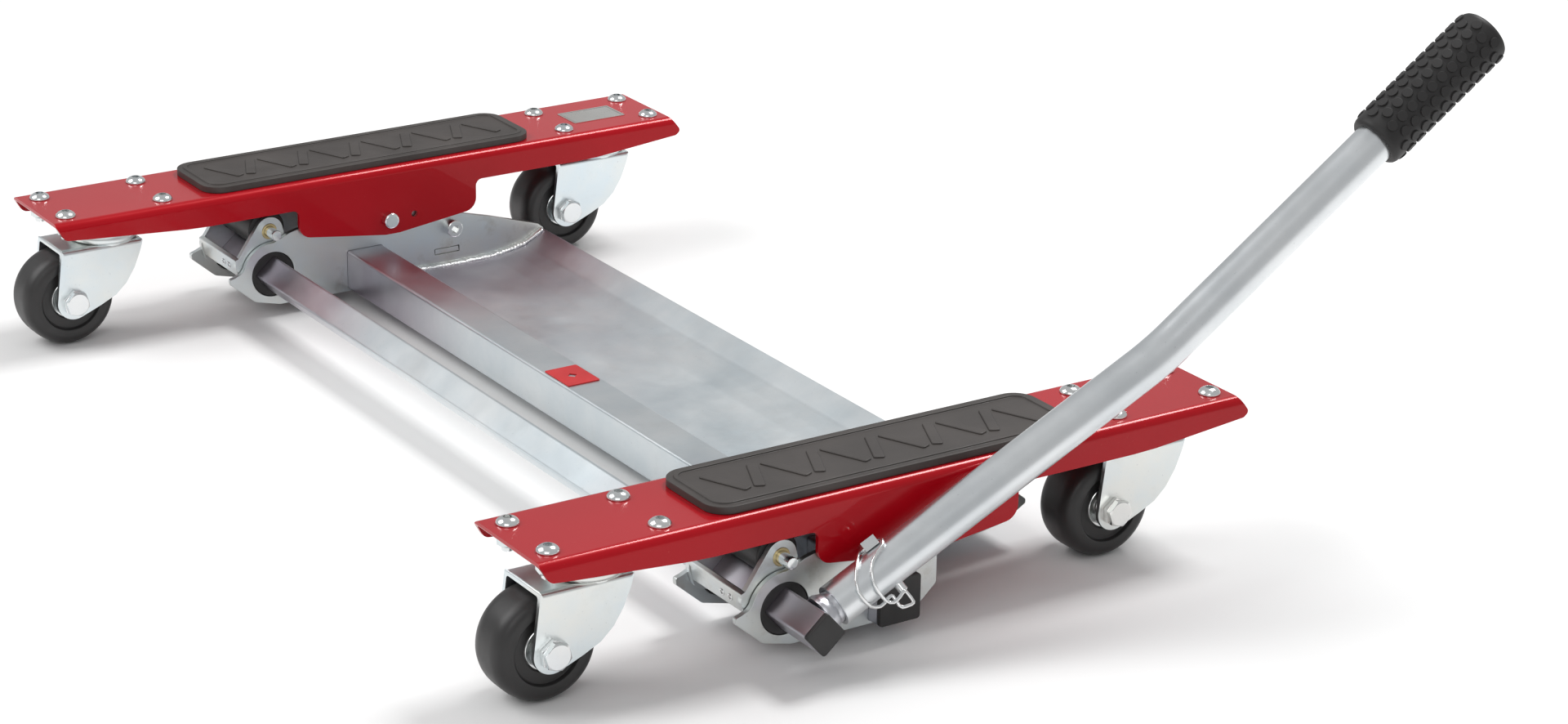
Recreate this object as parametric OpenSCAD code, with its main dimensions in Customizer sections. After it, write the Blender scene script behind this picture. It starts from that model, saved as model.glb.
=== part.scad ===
// Motorcycle centre-stand mover: two red castor beams, a hinged deck frame and a lever crank.
// Local axes: X along the beams, Y across the deck, Z up from the floor. Units: mm.

/* [Layout] */

// Distance between the centre lines of the two beams
beam_spacing = 691; // [500:1:900]
// Length of each beam
beam_length = 512; // [420:1:640]
// Height of the beam top face above the floor
beam_top = 101; // [95:0.5:130]
// Castor centres, measured from the beam middle
castor_x = 204.75; // [150:0.25:260]

/* [Beam channel] */

// Outer width of the channel
beam_width = 80; // [70:0.5:100]
// Sheet thickness of the channel
beam_sheet = 3; // [2:0.5:4]
// Outer bend radius of the channel
beam_bend = 6; // [4:0.5:8]
// Depth of the plain flange
flange_depth = 20.7; // [16:0.1:26]
// Depth of the flange at the beam ends
flange_end = 12.6; // [8:0.1:16]
// Length of the rubber pad
pad_length = 270; // [200:1:320]
// Width of the rubber pad
pad_width = 67; // [50:0.5:70]
// Thickness of the rubber pad without its raised rim
pad_base = 5; // [3:0.5:8]

/* [Castor] */

// Castor bolt pattern along the beam
bolt_x = 75; // [60:0.5:80]
// Castor bolt pattern across the beam
bolt_y = 47; // [38:0.5:50]
// Wheel diameter
wheel_d = 69; // [60:0.5:72]
// Wheel width
wheel_w = 33; // [24:0.5:34]
// Height of the wheel axle below the beam top face
axle_drop = 66.5; // [62:0.25:70]
// Trail of the wheel axle behind the swivel axis
castor_trail = 33; // [25:0.5:36]
// Outer width of the castor fork
fork_w = 43; // [38:0.5:46]
// Sheet thickness of the castor fork
fork_sheet = 3; // [2:0.5:3.5]
// Diameter of the kingpin
kingpin_d = 12; // [10:0.5:14]

/* [Deck frame] */

// Pivot pin position along the beam
pivot_x = 7; // [0:0.5:20]
// Pivot pin position below the beam top face
pivot_drop = 40; // [36:0.5:46]
// Pivot pin diameter
pivot_d = 12; // [10:0.5:14]
// Thickness of the side plates
plate_t = 4; // [3:0.5:5]
// Side plate outer face, measured from the beam centre line
plate_face = 36; // [34:0.25:36.5]
// Size of the square cross tube
tube_size = 30; // [25:1:35]
// Wall of the square cross tube
tube_wall = 2.5; // [2:0.5:3]
// Thickness of the deck sheet
deck_sheet_t = 2.5; // [2:0.5:4]

/* [Lever] */

// Shaft position along the beam
shaft_x = -87.3; // [-100:0.1:-70]
// Shaft position below the beam top face
shaft_drop = 67.8; // [60:0.1:72]
// Size of the square shaft
shaft_size = 20; // [16:0.5:22]
// Turn of the square section about its axis
shaft_turn = 41; // [0:1:90]
// Outer diameter of the shaft bushes
bush_d = 34; // [30:0.5:38]
// Crank radius from the shaft to the roller pin
crank_r = 32; // [28:0.5:36]
// Roller pin diameter
pin_d = 8; // [6:0.5:10]
// Roller diameter
roller_d = 29; // [24:0.5:32]
// Outside diameter of the handle tube
handle_d = 26.9; // [24:0.1:32]
// Wall of the handle tube
handle_wall = 2.3; // [2:0.1:3]
// Slope of the lower straight part of the handle
handle_slope = 25.4; // [15:0.1:45]
// Slope of the upper straight part of the handle
handle_slope2 = 34; // [15:0.1:45]
// Distance of the lock pin from the shaft axis
pin_at = 59; // [45:0.5:70]
// Lean of the lock pin about the handle axis
pin_lean = 40.6; // [0:0.1:60]
// Radius of the wire bail about the handle axis
bail_r = 15.3; // [14.8:0.1:18]
// Wire diameter of the bail
bail_d = 2.2; // [1.5:0.1:3]
// Diameter of the grip
grip_d = 36.4; // [32:0.1:40]

/* [Hidden] */

running = 0.075; // radial clearance of every turning fit
seam = 0.02; // gap between parts that touch inside one body
H = beam_spacing / 2;
zt = beam_top;
xs = shaft_x;
zs = zt - shaft_drop;
xp = pivot_x;
zp = zt - pivot_drop;
y_cap = -426.5; // outer face of the shaft cap at the lever side
y_lever = -408; // middle plane of the handle
y_loop = -428.66; // outermost reach of the wire bail
h_start = 19; // handle tube starts this far from the shaft axis
h_bend = 282; // bend of the handle, from the shaft axis
h_upper = 197; // straight run from the bend to the grip
grip_l = 106;
bend_r = 190; // centre-line radius of the handle bend
bx = xs + h_bend * cos(handle_slope);
bz = zs + h_bend * sin(handle_slope);
gx = bx + h_upper * cos(handle_slope2);
gz = bz + h_upper * sin(handle_slope2);
tip_x = gx + grip_l * cos(handle_slope2) + grip_d / 2 * sin(handle_slope2) - 1.608;
back_x = -castor_x - castor_trail - wheel_d / 2;
// the shared frame has its origin under the middle of the bounding box
ox = -(tip_x + back_x) / 2;
oy = -(y_loop + H + 48.42) / 2;

// ---------- helpers ----------

module place() { translate([ox, oy, 0]) children(); }

// side = -1 near beam, +1 far beam
module at_beam(side) { translate([0, side * H, zt]) children(); }

// cylinder along Y from y0 to y1 at (x, z)
module ycyl(x, z, d, y0, y1, n = 48) {
  translate([x, y0, z]) rotate([-90, 0, 0]) cylinder(d = d, h = y1 - y0, $fn = n);
}

// prism of an XZ outline from y0 to y1
module yprism(y0, y1) { translate([0, y1, 0]) rotate([90, 0, 0]) linear_extrude(y1 - y0) children(); }

module soft(r) { offset(r = r, $fn = 32) offset(delta = -r) children(); }
module fill_in(r) { offset(r = -r, $fn = 32) offset(delta = r) children(); }

module hexagon(af) { circle(d = af / cos(30), $fn = 6); }

module rrect(l, w, r) { offset(r = r, $fn = 32) square([l - 2 * r, w - 2 * r], center = true); }

// ---------- beam ----------

module flange_outline() {
  e = beam_length / 2;
  soft(3.5) polygon([[150, 20], [150, -flange_depth - 0.5], [170, -flange_depth - 0.5], [188, -20.6],
    [e + 2.2, -flange_end - 1.6], [e + 6.4, -flange_end + 1.8], [e - 2.4, 1], [e - 2.4, 20]]);
  soft(7) polygon([
    [-e, 20], [-e, -1], [-e + 6, -flange_end], [-232, -14.3], [-192, -17.3], [-156, -flange_depth + 0.6],
    [-140, -flange_depth], [-40, -flange_depth], [-40, -30], [40, -30], [40, -flange_depth - 0.5],
    [170, -flange_depth - 0.5], [188, -20.6], [188, 20]
  ]);
  fill_in(5) union() {
    soft(10) polygon([[-66.8, 0], [-66.8, -42], [4, -52], [16, -52], [81, -44], [81, 0]]);
    translate([-120, -flange_depth]) square([250, 30]);
  }
}

module channel_profile() {
  w = beam_width;
  intersection() {
    difference() {
      offset(r = beam_bend, $fn = 40)
        translate([-w / 2 + beam_bend, -80]) square([w - 2 * beam_bend, 80 - beam_bend]);
      offset(r = beam_bend - beam_sheet, $fn = 40)
        translate([-w / 2 + beam_bend, -90]) square([w - 2 * beam_bend, 90 - beam_bend]);
    }
    translate([-w / 2, -60]) square([w, 60]);
  }
}

module castor_bolts() {
  for (cx = [-1, 1], sx = [-1, 1], sy = [-1, 1])
    translate([cx * castor_x + sx * bolt_x / 2, sy * bolt_y / 2, 0]) children();
}

module channel() {
  difference() {
    intersection() {
      translate([-beam_length / 2 - 1, 0, 0]) rotate([90, 0, 90])
        linear_extrude(beam_length + 10) channel_profile();
      yprism(-beam_width, beam_width) flange_outline();
    }
    castor_bolts() translate([0, 0, -10]) cylinder(d = 8.4, h = 20, $fn = 32);
    ycyl(pivot_x, -pivot_drop, pivot_d + 2 * seam, -60, 60);
    ycyl(28.4, -39.5, 5, -60, 60, 24);
  }
}

module pad_outline(inset) { offset(delta = -inset) rrect(pad_length, pad_width, 15); }

module tread_bar(w, l) { linear_extrude(1.2) rrect(w, l, 2); }

module pad() {
  translate([0, 0, seam]) {
    linear_extrude(pad_base - 1.2) pad_outline(0);
    translate([0, 0, pad_base - 1.2]) linear_extrude(0.7) pad_outline(0.5);
    translate([0, 0, pad_base - 0.5]) linear_extrude(0.5) pad_outline(1.4);
    translate([0, 0, pad_base - 0.1]) linear_extrude(1.1) difference() { pad_outline(4.5); pad_outline(8); }
    for (i = [-5:5]) translate([i * 21.5, 0, pad_base - 0.2])
      rotate([0, 0, i % 2 == 0 ? -24 : 24]) tread_bar(7, 34);
  }
}

module slide_block() {
  // wear block under the channel; the crank roller works against it
  translate([-87, 0, -beam_sheet - seam]) mirror([0, 0, 1]) linear_extrude(14.6) rrect(84, 48, 4);
}

module castor_plate() {
  difference() {
    union() {
      translate([0, 0, -beam_sheet - seam - 3]) linear_extrude(3) rrect(94, 64, 6);
      // fixed upper ball cup
      translate([0, 0, -14.2]) rotate_extrude($fn = 72)
        polygon([[0, 0], [24, 0], [25.5, 2], [25.5, 4.4], [23, 6.5], [23, 8.4], [0, 8.4]]);
      translate([0, 0, -30]) cylinder(d = kingpin_d, h = 24, $fn = 48);
      translate([0, 0, -29.6]) rotate_extrude($fn = 48)
        polygon([[0, 0], [6, 0], [8, 0.8], [8, 2.2], [0, 2.2]]);
    }
    for (sx = [-1, 1], sy = [-1, 1]) translate([sx * bolt_x / 2, sy * bolt_y / 2, -20])
      cylinder(d = 8.4, h = 20, $fn = 32);
  }
}

module castor_plates() { for (s = [-1, 1]) translate([s * castor_x, 0, 0]) castor_plate(); }

module button_screws() {
  castor_bolts() {
    difference() {
      union() {
        translate([0, 0, seam]) rotate_extrude($fn = 48)
          polygon([[0, 0], [7.2, 0], [7.2, 0.7], [6.7, 2.1], [5.6, 3.3], [4.2, 4.1], [3.2, 4.3], [0, 4.3]]);
        translate([0, 0, -17]) cylinder(d = 8, h = 17 + seam, $fn = 32);
      }
      translate([0, 0, 1.5]) linear_extrude(4) hexagon(5);
    }
  }
}

module lock_nuts() {
  castor_bolts() translate([0, 0, -6.02 - seam]) mirror([0, 0, 1]) difference() {
    union() {
      linear_extrude(6.2) hexagon(13);
      translate([0, 0, 6.2]) rotate_extrude($fn = 40) polygon([[0, 0], [6.1, 0], [5.2, 1.6], [0, 1.6]]);
    }
    translate([0, 0, -1]) cylinder(d = 8 + 2 * seam, h = 10, $fn = 32);
  }
}

module pivot_pin() {
  r = pivot_d / 2;
  translate([pivot_x, -46, -pivot_drop]) rotate([-90, 0, 0]) rotate_extrude($fn = 64)
    polygon([[0, 0], [r - 1.2, 0], [r, 1.2], [r, 90.8], [r - 1.2, 92], [0, 92]]);
}

module nameplate() {
  translate([204.6, -0.6, seam]) linear_extrude(0.5) rotate(-2) rrect(45, 28, 1);
}

// ---------- castor ----------

module fork_leg_outline() {
  t = -castor_trail;
  d = -axle_drop;
  union() {
    polygon([
      [-41, -27], [t - 11.6, d + 4], [t - 13, d - 0.5], [t, d - 13], [t + 6, d - 11.6], [t + 20, d - 5.8],
      [-1, -66.5], [7.6, -58.6], [14.4, -48], [19.4, -36], [22, -27]
    ]);
    translate([t, d]) circle(r = 13, $fn = 72);
  }
}

module fork() {
  iw = fork_w / 2 - fork_sheet;
  difference() {
    union() {
      for (s = [-1, 1]) yprism(s > 0 ? iw : -fork_w / 2, s > 0 ? fork_w / 2 : -iw) fork_leg_outline();
      // crown plate over the wheel
      yprism(-fork_w / 2, fork_w / 2) polygon([[-41, -27], [-40.4, -30], [21.2, -30], [22, -27]]);
      translate([0, 0, -27.05]) rotate_extrude($fn = 72)
        polygon([[0, 0], [25, 0], [25.8, 2], [25.8, 4.2], [25, 5.2], [25, 12.4], [22, 12.6], [0, 12.6]]);
      translate([0, 0, -30]) cylinder(r = 21.4, h = 3.1, $fn = 72);
    }
    translate([0, 0, -40]) cylinder(d = kingpin_d + 2 * running, h = 40, $fn = 48);
    translate([0, 0, -31]) cylinder(r = 8.4, h = 3.8, $fn = 48);
    ycyl(-castor_trail, -axle_drop, 10 + 2 * seam, -40, 40);
  }
}

module axle_bolt() {
  h = fork_w / 2 + seam;
  translate([-castor_trail, 0, -axle_drop]) {
    ycyl(0, 0, 10, -h - 1, h + 9);
    // head side: thin lock hexagon, then the bolt head with its chamfered face
    translate([0, -h, 0]) rotate([90, 6, 0]) linear_extrude(2.9) hexagon(17);
    translate([0, -h - 2.9, 0]) rotate([90, 0, 0]) intersection() {
      linear_extrude(4) rotate([0, 0, 14]) hexagon(16);
      rotate_extrude($fn = 48) polygon([[0, 0], [9.4, 0], [9.4, 3.2], [8, 4], [0, 4]]);
    }
    translate([0, h, 0]) rotate([-90, 10, 0]) intersection() {
      linear_extrude(8) hexagon(16);
      rotate_extrude($fn = 48) polygon([[0, 0], [9.4, 0], [9.4, 6.8], [7.6, 8], [0, 8]]);
    }
  }
}

module wheel() {
  R = wheel_d / 2;
  w = wheel_w / 2;
  translate([-castor_trail, 0, -axle_drop]) rotate([-90, 0, 0]) rotate_extrude($fn = 144) {
    polygon([
      [14, -w + 4], [14, w - 4], [15, w - 3.2], [21.6, w - 3.2], [22.4, w - 2.6], [22.8, w - 0.5], [23.6, w],
      [27.6, w], [29.6, w - 0.5], [31.4, w - 1.7], [32.8, w - 3.4], [33.8, w - 5.6], [R - 0.1, w - 8.4],
      [R, w - 11], [R, -w + 11],
      [R - 0.1, -w + 8.4], [33.8, -w + 5.6], [32.8, -w + 3.4], [31.4, -w + 1.7], [29.6, -w + 0.5], [27.6, -w],
      [23.6, -w], [22.8, -w + 0.5], [22.4, -w + 2.6], [21.6, -w + 3.2], [15, -w + 3.2]
    ]);
  }
}

module bearings() {
  w = wheel_w / 2;
  b = 5 + running;
  for (s = [-1, 1]) translate([-castor_trail, 0, -axle_drop]) rotate([-90 * s, 0, 0]) rotate_extrude($fn = 96)
    polygon([
      [b, w - 13], [14 - seam, w - 13], [14 - seam, w - 3.6], [11.9, w - 3.6],
      [11.6, w - 4.4], [8.6, w - 4.4],
      [8.2, w - 3.6], [8.2, w + 1.5], [b, w + 1.5]
    ]);
}

module at_castor(side, end) { at_beam(side) translate([end * castor_x, 0, 0]) children(); }

// ---------- deck frame ----------

module lobe() {
  // boss around the shaft bush with the hook tooth for the crank pin
  translate([xs, zs]) {
    circle(r = 24.2, $fn = 120);
    soft(1.6) polygon([
      [-22, 10], [-25.4, 4.5], [-30.5, 2.4], [-34.6, 1.2], [-34.2, -3], [-10, -24], [0, -20], [0, 0]
    ]);
  }
}

module shoulder() {
  // body of the plate from the boss to the pivot
  fill_in(4) union() {
    lobe();
    soft(4) polygon([
      [xs + 1, zs + 22], [xs + 8, zs + 26.6], [xs + 14, zs + 29.6], [xs + 22, zs + 31.6],
      [xs + 30, zs + 32], [xp + 15, zs + 32],
      [xp + 15, zs - 22], [xs, zs - 24.2]
    ]);
  }
}

module inner_outline() {
  union() {
    fill_in(6) union() {
      shoulder();
      soft(3) polygon([
        [xp - 50, zs + 32], [xp + 14, zs + 32], [48, zt - 41.2], [71, zt - 47.5], [95, zt - 54],
        [136.5, zt - 67],
        [141.5, zt - 71], [141.5, zt - 74], [124, zt - 84.2], [95, zt - 88.6], [66, zt - 89.2], [34, zt - 90],
        [12, zt - 92], [xs + 30, zt - 92.5], [xs + 5, zs - 24.2]
      ]);
    }
  }
}

module outer_outline() {
  union() {
    fill_in(6) union() {
      shoulder();
      soft(2) polygon([
        [xp - 50, zs + 32], [xp + 15, zs + 32], [23.5, zt - 52], [23.5, zt - 76], [14, zt - 85],
        [4, zt - 92.5],
        [xs + 30, zt - 92.5], [xs + 5, zs - 24.2]
      ]);
    }
  }
}

module plate_holes() {
  translate([xp, zp]) circle(d = pivot_d + 2 * running, $fn = 64);
  translate([xs, zs]) circle(d = bush_d + 2 * running, $fn = 96);
  translate([-11.5, zt - 75.5]) offset(r = 2.1, $fn = 24) square(tube_size - 4 + 0.04, center = true);
}

module plate_features() {
  plate_holes();
  translate([60.8, zt - 56]) circle(d = 8.1, $fn = 32);
  translate([57.5, zt - 74.6]) offset(r = 0.4, $fn = 12) square([20.4, 4.2], center = true);
}

// side = -1 near, +1 far; the outline stands between two Y offsets from the beam centre line
module side_plate(y0, y1) { yprism(y0, y1) difference() { children(0); children(1); } }

module inner_plate(side) {
  y = side * H - side * plate_face;
  difference() {
    yprism(side > 0 ? y : y - plate_t, side > 0 ? y + plate_t : y) inner_outline();
    yprism(side * H - 60, side * H + 60) plate_features();
  }
}

module outer_plate(side) {
  y = side * H + side * plate_face;
  difference() {
    yprism(side > 0 ? y - plate_t : y, side > 0 ? y : y + plate_t) outer_outline();
    yprism(side * H - 60, side * H + 60) plate_holes();
  }
}

module cross_tube() {
  l = 2 * (H + 45);
  translate([-11.5, 0, zt - 75.5]) rotate([90, 0, 0]) linear_extrude(l, center = true) difference() {
    rrect(tube_size, tube_size, 2);
    rrect(tube_size - 2 * tube_wall, tube_size - 2 * tube_wall, 0.8);
  }
}

module tube_caps() {
  for (s = [-1, 1]) translate([-11.5, s * (H + 45 + seam), zt - 75.5]) rotate([-90 * s, 0, 0]) {
    linear_extrude(2.6) rrect(tube_size, tube_size, 2.4);
    translate([0, 0, 2.6]) linear_extrude(0.8) rrect(tube_size - 2, tube_size - 2, 1.8);
    i = tube_size - 2 * tube_wall - 0.1;
    translate([0, 0, -9]) linear_extrude(9) rrect(i, i, 0.8);
  }
}

module sheet_outline() {
  // deck sheet section: flat start beside the tube, shallow dish, rising lip
  t = deck_sheet_t;
  soft(0.6) polygon([
    [3.6, zt - 83.2], [34, zt - 85], [66, zt - 86], [94, zt - 85.4], [110, zt - 83.4],
    [123, zt - 80.8], [141, zt - 71.2],
    [142.2, zt - 73.4], [124, zt - 80.8 - t], [110.3, zt - 83.4 - t], [94, zt - 85.4 - t], [66, zt - 86 - t],
    [34, zt - 85 - t], [3.6, zt - 83.2 - t]
  ]);
}

module deck_sheet() {
  l = H - plate_face - seam;
  yprism(-l, l) sheet_outline();
}

module weld_path() {
  polygon([
    [30, zt - 84.6], [34, zt - 81.6], [66, zt - 82.4], [94, zt - 81.8], [122, zt - 77.2], [139, zt - 68.6],
    [140.9, zt - 71.1], [123, zt - 80.7], [110, zt - 83.3], [94, zt - 85.3], [66, zt - 85.9], [34, zt - 84.9]
  ]);
}

module deck_welds() {
  l = H - plate_face - 2 * seam;
  for (s = [-1, 1]) yprism(s > 0 ? l - 3.6 : -l, s > 0 ? l : -l + 3.6) weld_path();
}

module at_plate_screw(y) { translate([60.8, y, zt - 56]) children(); }

module plate_screws() {
  for (s = [-1, 1]) at_plate_screw(s * (H - plate_face - seam)) rotate([s * 90, 0, 0]) difference() {
    union() {
      rotate_extrude($fn = 48) polygon([[0, 0], [6.5, 0], [6.5, 7.2], [5.7, 8], [0, 8]]);
      translate([0, 0, -14]) cylinder(d = 8, h = 14.5, $fn = 32);
    }
    translate([0, 0, 3.6]) linear_extrude(6) hexagon(6);
  }
}

module plate_nuts() {
  for (s = [-1, 1]) at_plate_screw(s * (H - plate_face + plate_t + seam)) rotate([-s * 90, 0, 0])
    difference() {
      linear_extrude(6.5) hexagon(13);
      translate([0, 0, -1]) cylinder(d = 8 + 2 * seam, h = 10, $fn = 32);
    }
}

module plate_tabs() {
  // tongues of the stop brackets, let into the slots of the inner plates
  for (s = [-1, 1]) {
    a = s * (H - plate_face) + s * 0.3;
    b = s * (H - 16);
    yprism(min(a, b), max(a, b)) translate([57.5, zt - 74.6]) square([20, 3.8], center = true);
    c = s * (H - plate_face + plate_t) + s * seam;
    yprism(min(b, c), max(b, c)) translate([57.5, zt - 74.6]) square([34, 3.8], center = true);
  }
}

module tube_marker() {
  translate([-12.4, 0, zt - 60.5 + seam]) linear_extrude(0.8) difference() {
    rrect(25, 33, 1);
    rotate([0, 0, 45]) square(5, center = true);
  }
}

// ---------- lever ----------

module shaft_hole() {
  translate([xs, zs]) rotate(shaft_turn) rrect(shaft_size + 0.06, shaft_size + 0.06, 1.6);
}

module shaft() {
  y1 = y_cap + 3.4;
  y2 = H + 43.5;
  translate([xs, y2, zs]) rotate([90, 0, 0]) linear_extrude(y2 - y1) rotate([0, 0, shaft_turn]) difference() {
    rrect(shaft_size, shaft_size, 1.6);
    rrect(shaft_size - 5, shaft_size - 5, 0.6);
  }
}

module shaft_caps() {
  for (s = [-1, 1])
    translate([xs, s < 0 ? y_cap + 3.4 - seam : H + 43.5 + seam, zs]) rotate([-90 * s, 0, 0]) {
    rotate([0, 0, -s * shaft_turn]) {
      linear_extrude(2.8) rrect(shaft_size, shaft_size, 2);
      translate([0, 0, 2.8]) linear_extrude(0.6) rrect(shaft_size - 1.6, shaft_size - 1.6, 1.6);
      translate([0, 0, -8]) linear_extrude(8) rrect(shaft_size - 5.1, shaft_size - 5.1, 0.6);
    }
  }
}

module shaft_bushes() {
  for (s = [-1, 1], t = [-1, 1]) {
    a = s * H + t * (plate_face - plate_t + 0.2);
    b = s * H + t * (plate_face - 0.3);
    difference() {
      ycyl(xs, zs, bush_d, min(a, b), max(a, b), 96);
      yprism(min(a, b) - 1, max(a, b) + 1) shaft_hole();
    }
  }
}

module ear_outline() {
  translate([xs, zs]) {
    difference() {
      union() {
        hull() {
          translate([0, crank_r]) circle(r = 10.8, $fn = 96);
          translate([-22, 9]) circle(r = 6, $fn = 64);
          translate([-19, 0]) circle(r = 6, $fn = 64);
          translate([2, 2]) circle(r = 16, $fn = 96);
        }
      }
      rotate(shaft_turn) rrect(shaft_size + 0.06, shaft_size + 0.06, 1.6);
      translate([0, crank_r]) circle(d = 12 + 2 * seam, $fn = 64);
    }
  }
}

module web_outline() {
  translate([xs, zs]) soft(1) polygon([[-28.3, 13.6], [-24.6, 15.2], [-21, 1], [-25, 0]]);
}

module yoke(side) {
  c = side * H;
  w = plate_face - plate_t - 0.5;
  difference() {
    union() {
      yprism(c - w, c - w + 4) ear_outline();
      yprism(c + w - 4, c + w) ear_outline();
      yprism(c - w, c + w) web_outline();
    }
    for (o = [-17, -8]) translate([xs - 24.6, c + o, zs + 7]) rotate([0, 76, 0])
      cylinder(d = 5.06, h = 30, center = true, $fn = 32);
  }
}

module yoke_screws() {
  for (s = [-1, 1], o = [-17, -8]) translate([xs - 24.6, s * H + o, zs + 7]) rotate([0, 76, 0]) difference() {
    translate([0, 0, -2.6]) cylinder(d = 5, h = 7.4, $fn = 32);
    translate([0, 0, -3.6]) linear_extrude(3) hexagon(2.5);
  }
}

module crank_pins() {
  for (s = [-1, 1]) translate([xs, s * H - 44, zs + crank_r]) rotate([-90, 0, 0]) rotate_extrude($fn = 48)
    polygon([[0, 0], [3.4, 0], [4, 0.6], [4, 87.4], [3.4, 88], [0, 88]]);
}

module pin_bushes() {
  w = plate_face - plate_t - 0.5;
  for (s = [-1, 1], t = [-1, 1]) translate([xs, s * H + t * (w - 4.1), zs + crank_r]) rotate([-90 * t, 0, 0])
    difference() {
      cylinder(d = 12, h = 4.5, $fn = 64);
      translate([0, 0, -1]) cylinder(d = 8 + 2 * seam, h = 7, $fn = 48);
    }
}

module roller(side) {
  w = plate_face - plate_t - 0.5 - 4 - 0.4;
  translate([xs, side * H, zs + crank_r]) rotate([90, 0, 0]) difference() {
    rotate_extrude($fn = 96) {
      r = roller_d / 2;
      polygon([[0, -w], [r - 1, -w], [r, -w + 1], [r, w - 1], [r - 1, w], [0, w]]);
    }
    cylinder(d = 8 + 2 * running, h = 100, center = true, $fn = 48);
  }
}

module lever_axis() { translate([xs, y_lever, zs]) rotate([0, -handle_slope, 0]) children(); }

// the lock pin stands across the handle, turned about the tube axis
module at_pin() { lever_axis() translate([pin_at, 0, 0]) rotate([-pin_lean, 0, 0]) children(); }

module pin_hole() { cylinder(d = 6.04, h = 60, center = true, $fn = 32); }

module handle_stub() {
  // round bar welded to the shaft; the handle tube slides over it
  difference() {
    union() {
      lever_axis() rotate([0, 90, 0]) translate([0, 0, 6]) cylinder(d = 21.6, h = 80, $fn = 72);
      lever_axis() rotate([0, 90, 0]) translate([0, 0, 10.2]) rotate_extrude($fn = 72)
        polygon([[0, 0], [13, 0], [12.4, 1.6], [11.2, 3.6], [10.6, 6.5], [0, 6.5]]);
    }
    translate([xs, 0, zs]) rotate([90, 0, 0]) linear_extrude(1000, center = true) rotate([0, 0, shaft_turn])
      rrect(shaft_size + 2 * seam, shaft_size + 2 * seam, 1.6);
    at_pin() pin_hole();
  }
}

module handle_tube() {
  // a bent tube: bored from both ends as far as the bend
  a = handle_slope2 - handle_slope;
  tl = bend_r * tan(a / 2);
  bore = handle_d - 2 * handle_wall;
  difference() {
    union() {
      lever_axis() translate([h_start, 0, 0]) rotate([0, 90, 0])
        cylinder(d = handle_d, h = h_bend - tl - h_start, $fn = 72);
      // the bend runs a little way into both straight lengths
      lever_axis() translate([h_bend - tl, 0, bend_r]) rotate([90, 0, 0]) rotate([0, 0, -90.5])
        rotate_extrude(angle = a + 1, $fn = 360) translate([bend_r, 0]) circle(d = handle_d - 0.1, $fn = 72);
      lever_axis() translate([h_bend, 0, 0]) rotate([0, -a, 0]) translate([tl, 0, 0]) rotate([0, 90, 0])
        cylinder(d = handle_d, h = h_upper + grip_l - 6 - tl, $fn = 72);
    }
    lever_axis() translate([h_start - 1, 0, 0]) rotate([0, 90, 0])
      cylinder(d = bore, h = h_bend - tl - h_start - 2, $fn = 72);
    lever_axis() translate([h_bend, 0, 0]) rotate([0, -a, 0]) translate([tl + 3, 0, 0]) rotate([0, 90, 0])
      cylinder(d = bore, h = h_upper + grip_l - tl, $fn = 72);
    at_pin() pin_hole();
  }
}

module at_grip() {
  lever_axis() translate([h_bend, 0, 0]) rotate([0, 90 - (handle_slope2 - handle_slope), 0])
    translate([0, 0, h_upper]) children();
}

module grip() {
  r = grip_d / 2;
  t = handle_d / 2 + seam;
  at_grip() rotate_extrude($fn = 96) polygon([
    [t, 0], [r - 1.6, 0], [r - 0.4, 0.8], [r, 2], [r, 4.4], [r - 0.8, 5.2], [r - 0.8, 6.6],
    [r, 7.4], [r, grip_l - 3.6],
    [r - 0.8, grip_l - 1.4], [r - 3, grip_l], [0, grip_l], [0, grip_l - 5.9], [t, grip_l - 5.9]
  ]);
}

module lock_pin() {
  at_pin() {
    rotate_extrude($fn = 48) polygon([[0, -19], [2, -19], [3, -18], [3, 16], [0, 16]]);
    difference() {
      translate([-5, -5.5, 9.6]) cube([10, 11, 9.8]);
      translate([-20, 0, 0]) rotate([0, 90, 0]) cylinder(d = handle_d + 2 * seam, h = 40, $fn = 72);
      translate([-20, 0, bail_r]) rotate([0, 90, 0]) cylinder(d = bail_d + 2 * running, h = 40, $fn = 24);
      for (s = [-1, 1]) translate([s * 5.6, -6, 18.2]) rotate([0, s * 45, 0]) cube([4, 12, 4]);
    }
  }
}

module bail_leg(a, b) {
  d = b - a;
  l = norm(d);
  translate(a) rotate([0, acos(d[2] / l), atan2(d[1], d[0])]) cylinder(d = bail_d, h = l, $fn = 12);
}

bail_line = [
  [3.2, 0, 15.3], [6.8, 0, 15.3], [6.8, -6, 14.4], [5, -10.4, 11.9], [-2.3, -13.3, 8.8], [-9.5, -14.9, 5.2],
  [-14.6, -15.5, -0.4], [-16.6, -13.4, -7.8], [-14.6, -6.4, -14.8], [-12.4, -4.9, -19.4], [-8.6, -5, -20.6],
  [-1.4, -4.6, -19.2], [0, -3.1, -24.2], [-0.8, -2.2, -27.4], [-7.4, -2.6, -26], [-8.6, -2.6, -22.4],
  [-8.4, -2, -16.8], [-15.4, -2, -17.4], [-21.8, -4.4, -16], [-26.4, -11.4, -11], [-27.1, -15.5, -3.2],
  [-22.6, -15, 4.8], [-14.8, -10, 12], [-6.8, 0, 15.3], [-3.2, 0, 15.3]
];

module pin_bail() {
  // wire bail: hinged in the head block, both legs bow round the front of the tube to a finger loop
  n = len(bail_line) - 1;
  at_pin() {
    for (i = [0:n - 1]) bail_leg(bail_line[i], bail_line[i + 1]);
    for (i = [1:n - 1]) translate(bail_line[i]) sphere(d = bail_d + 0.12, $fn = 12);
  }
}

// ---------- nodes ----------

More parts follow.
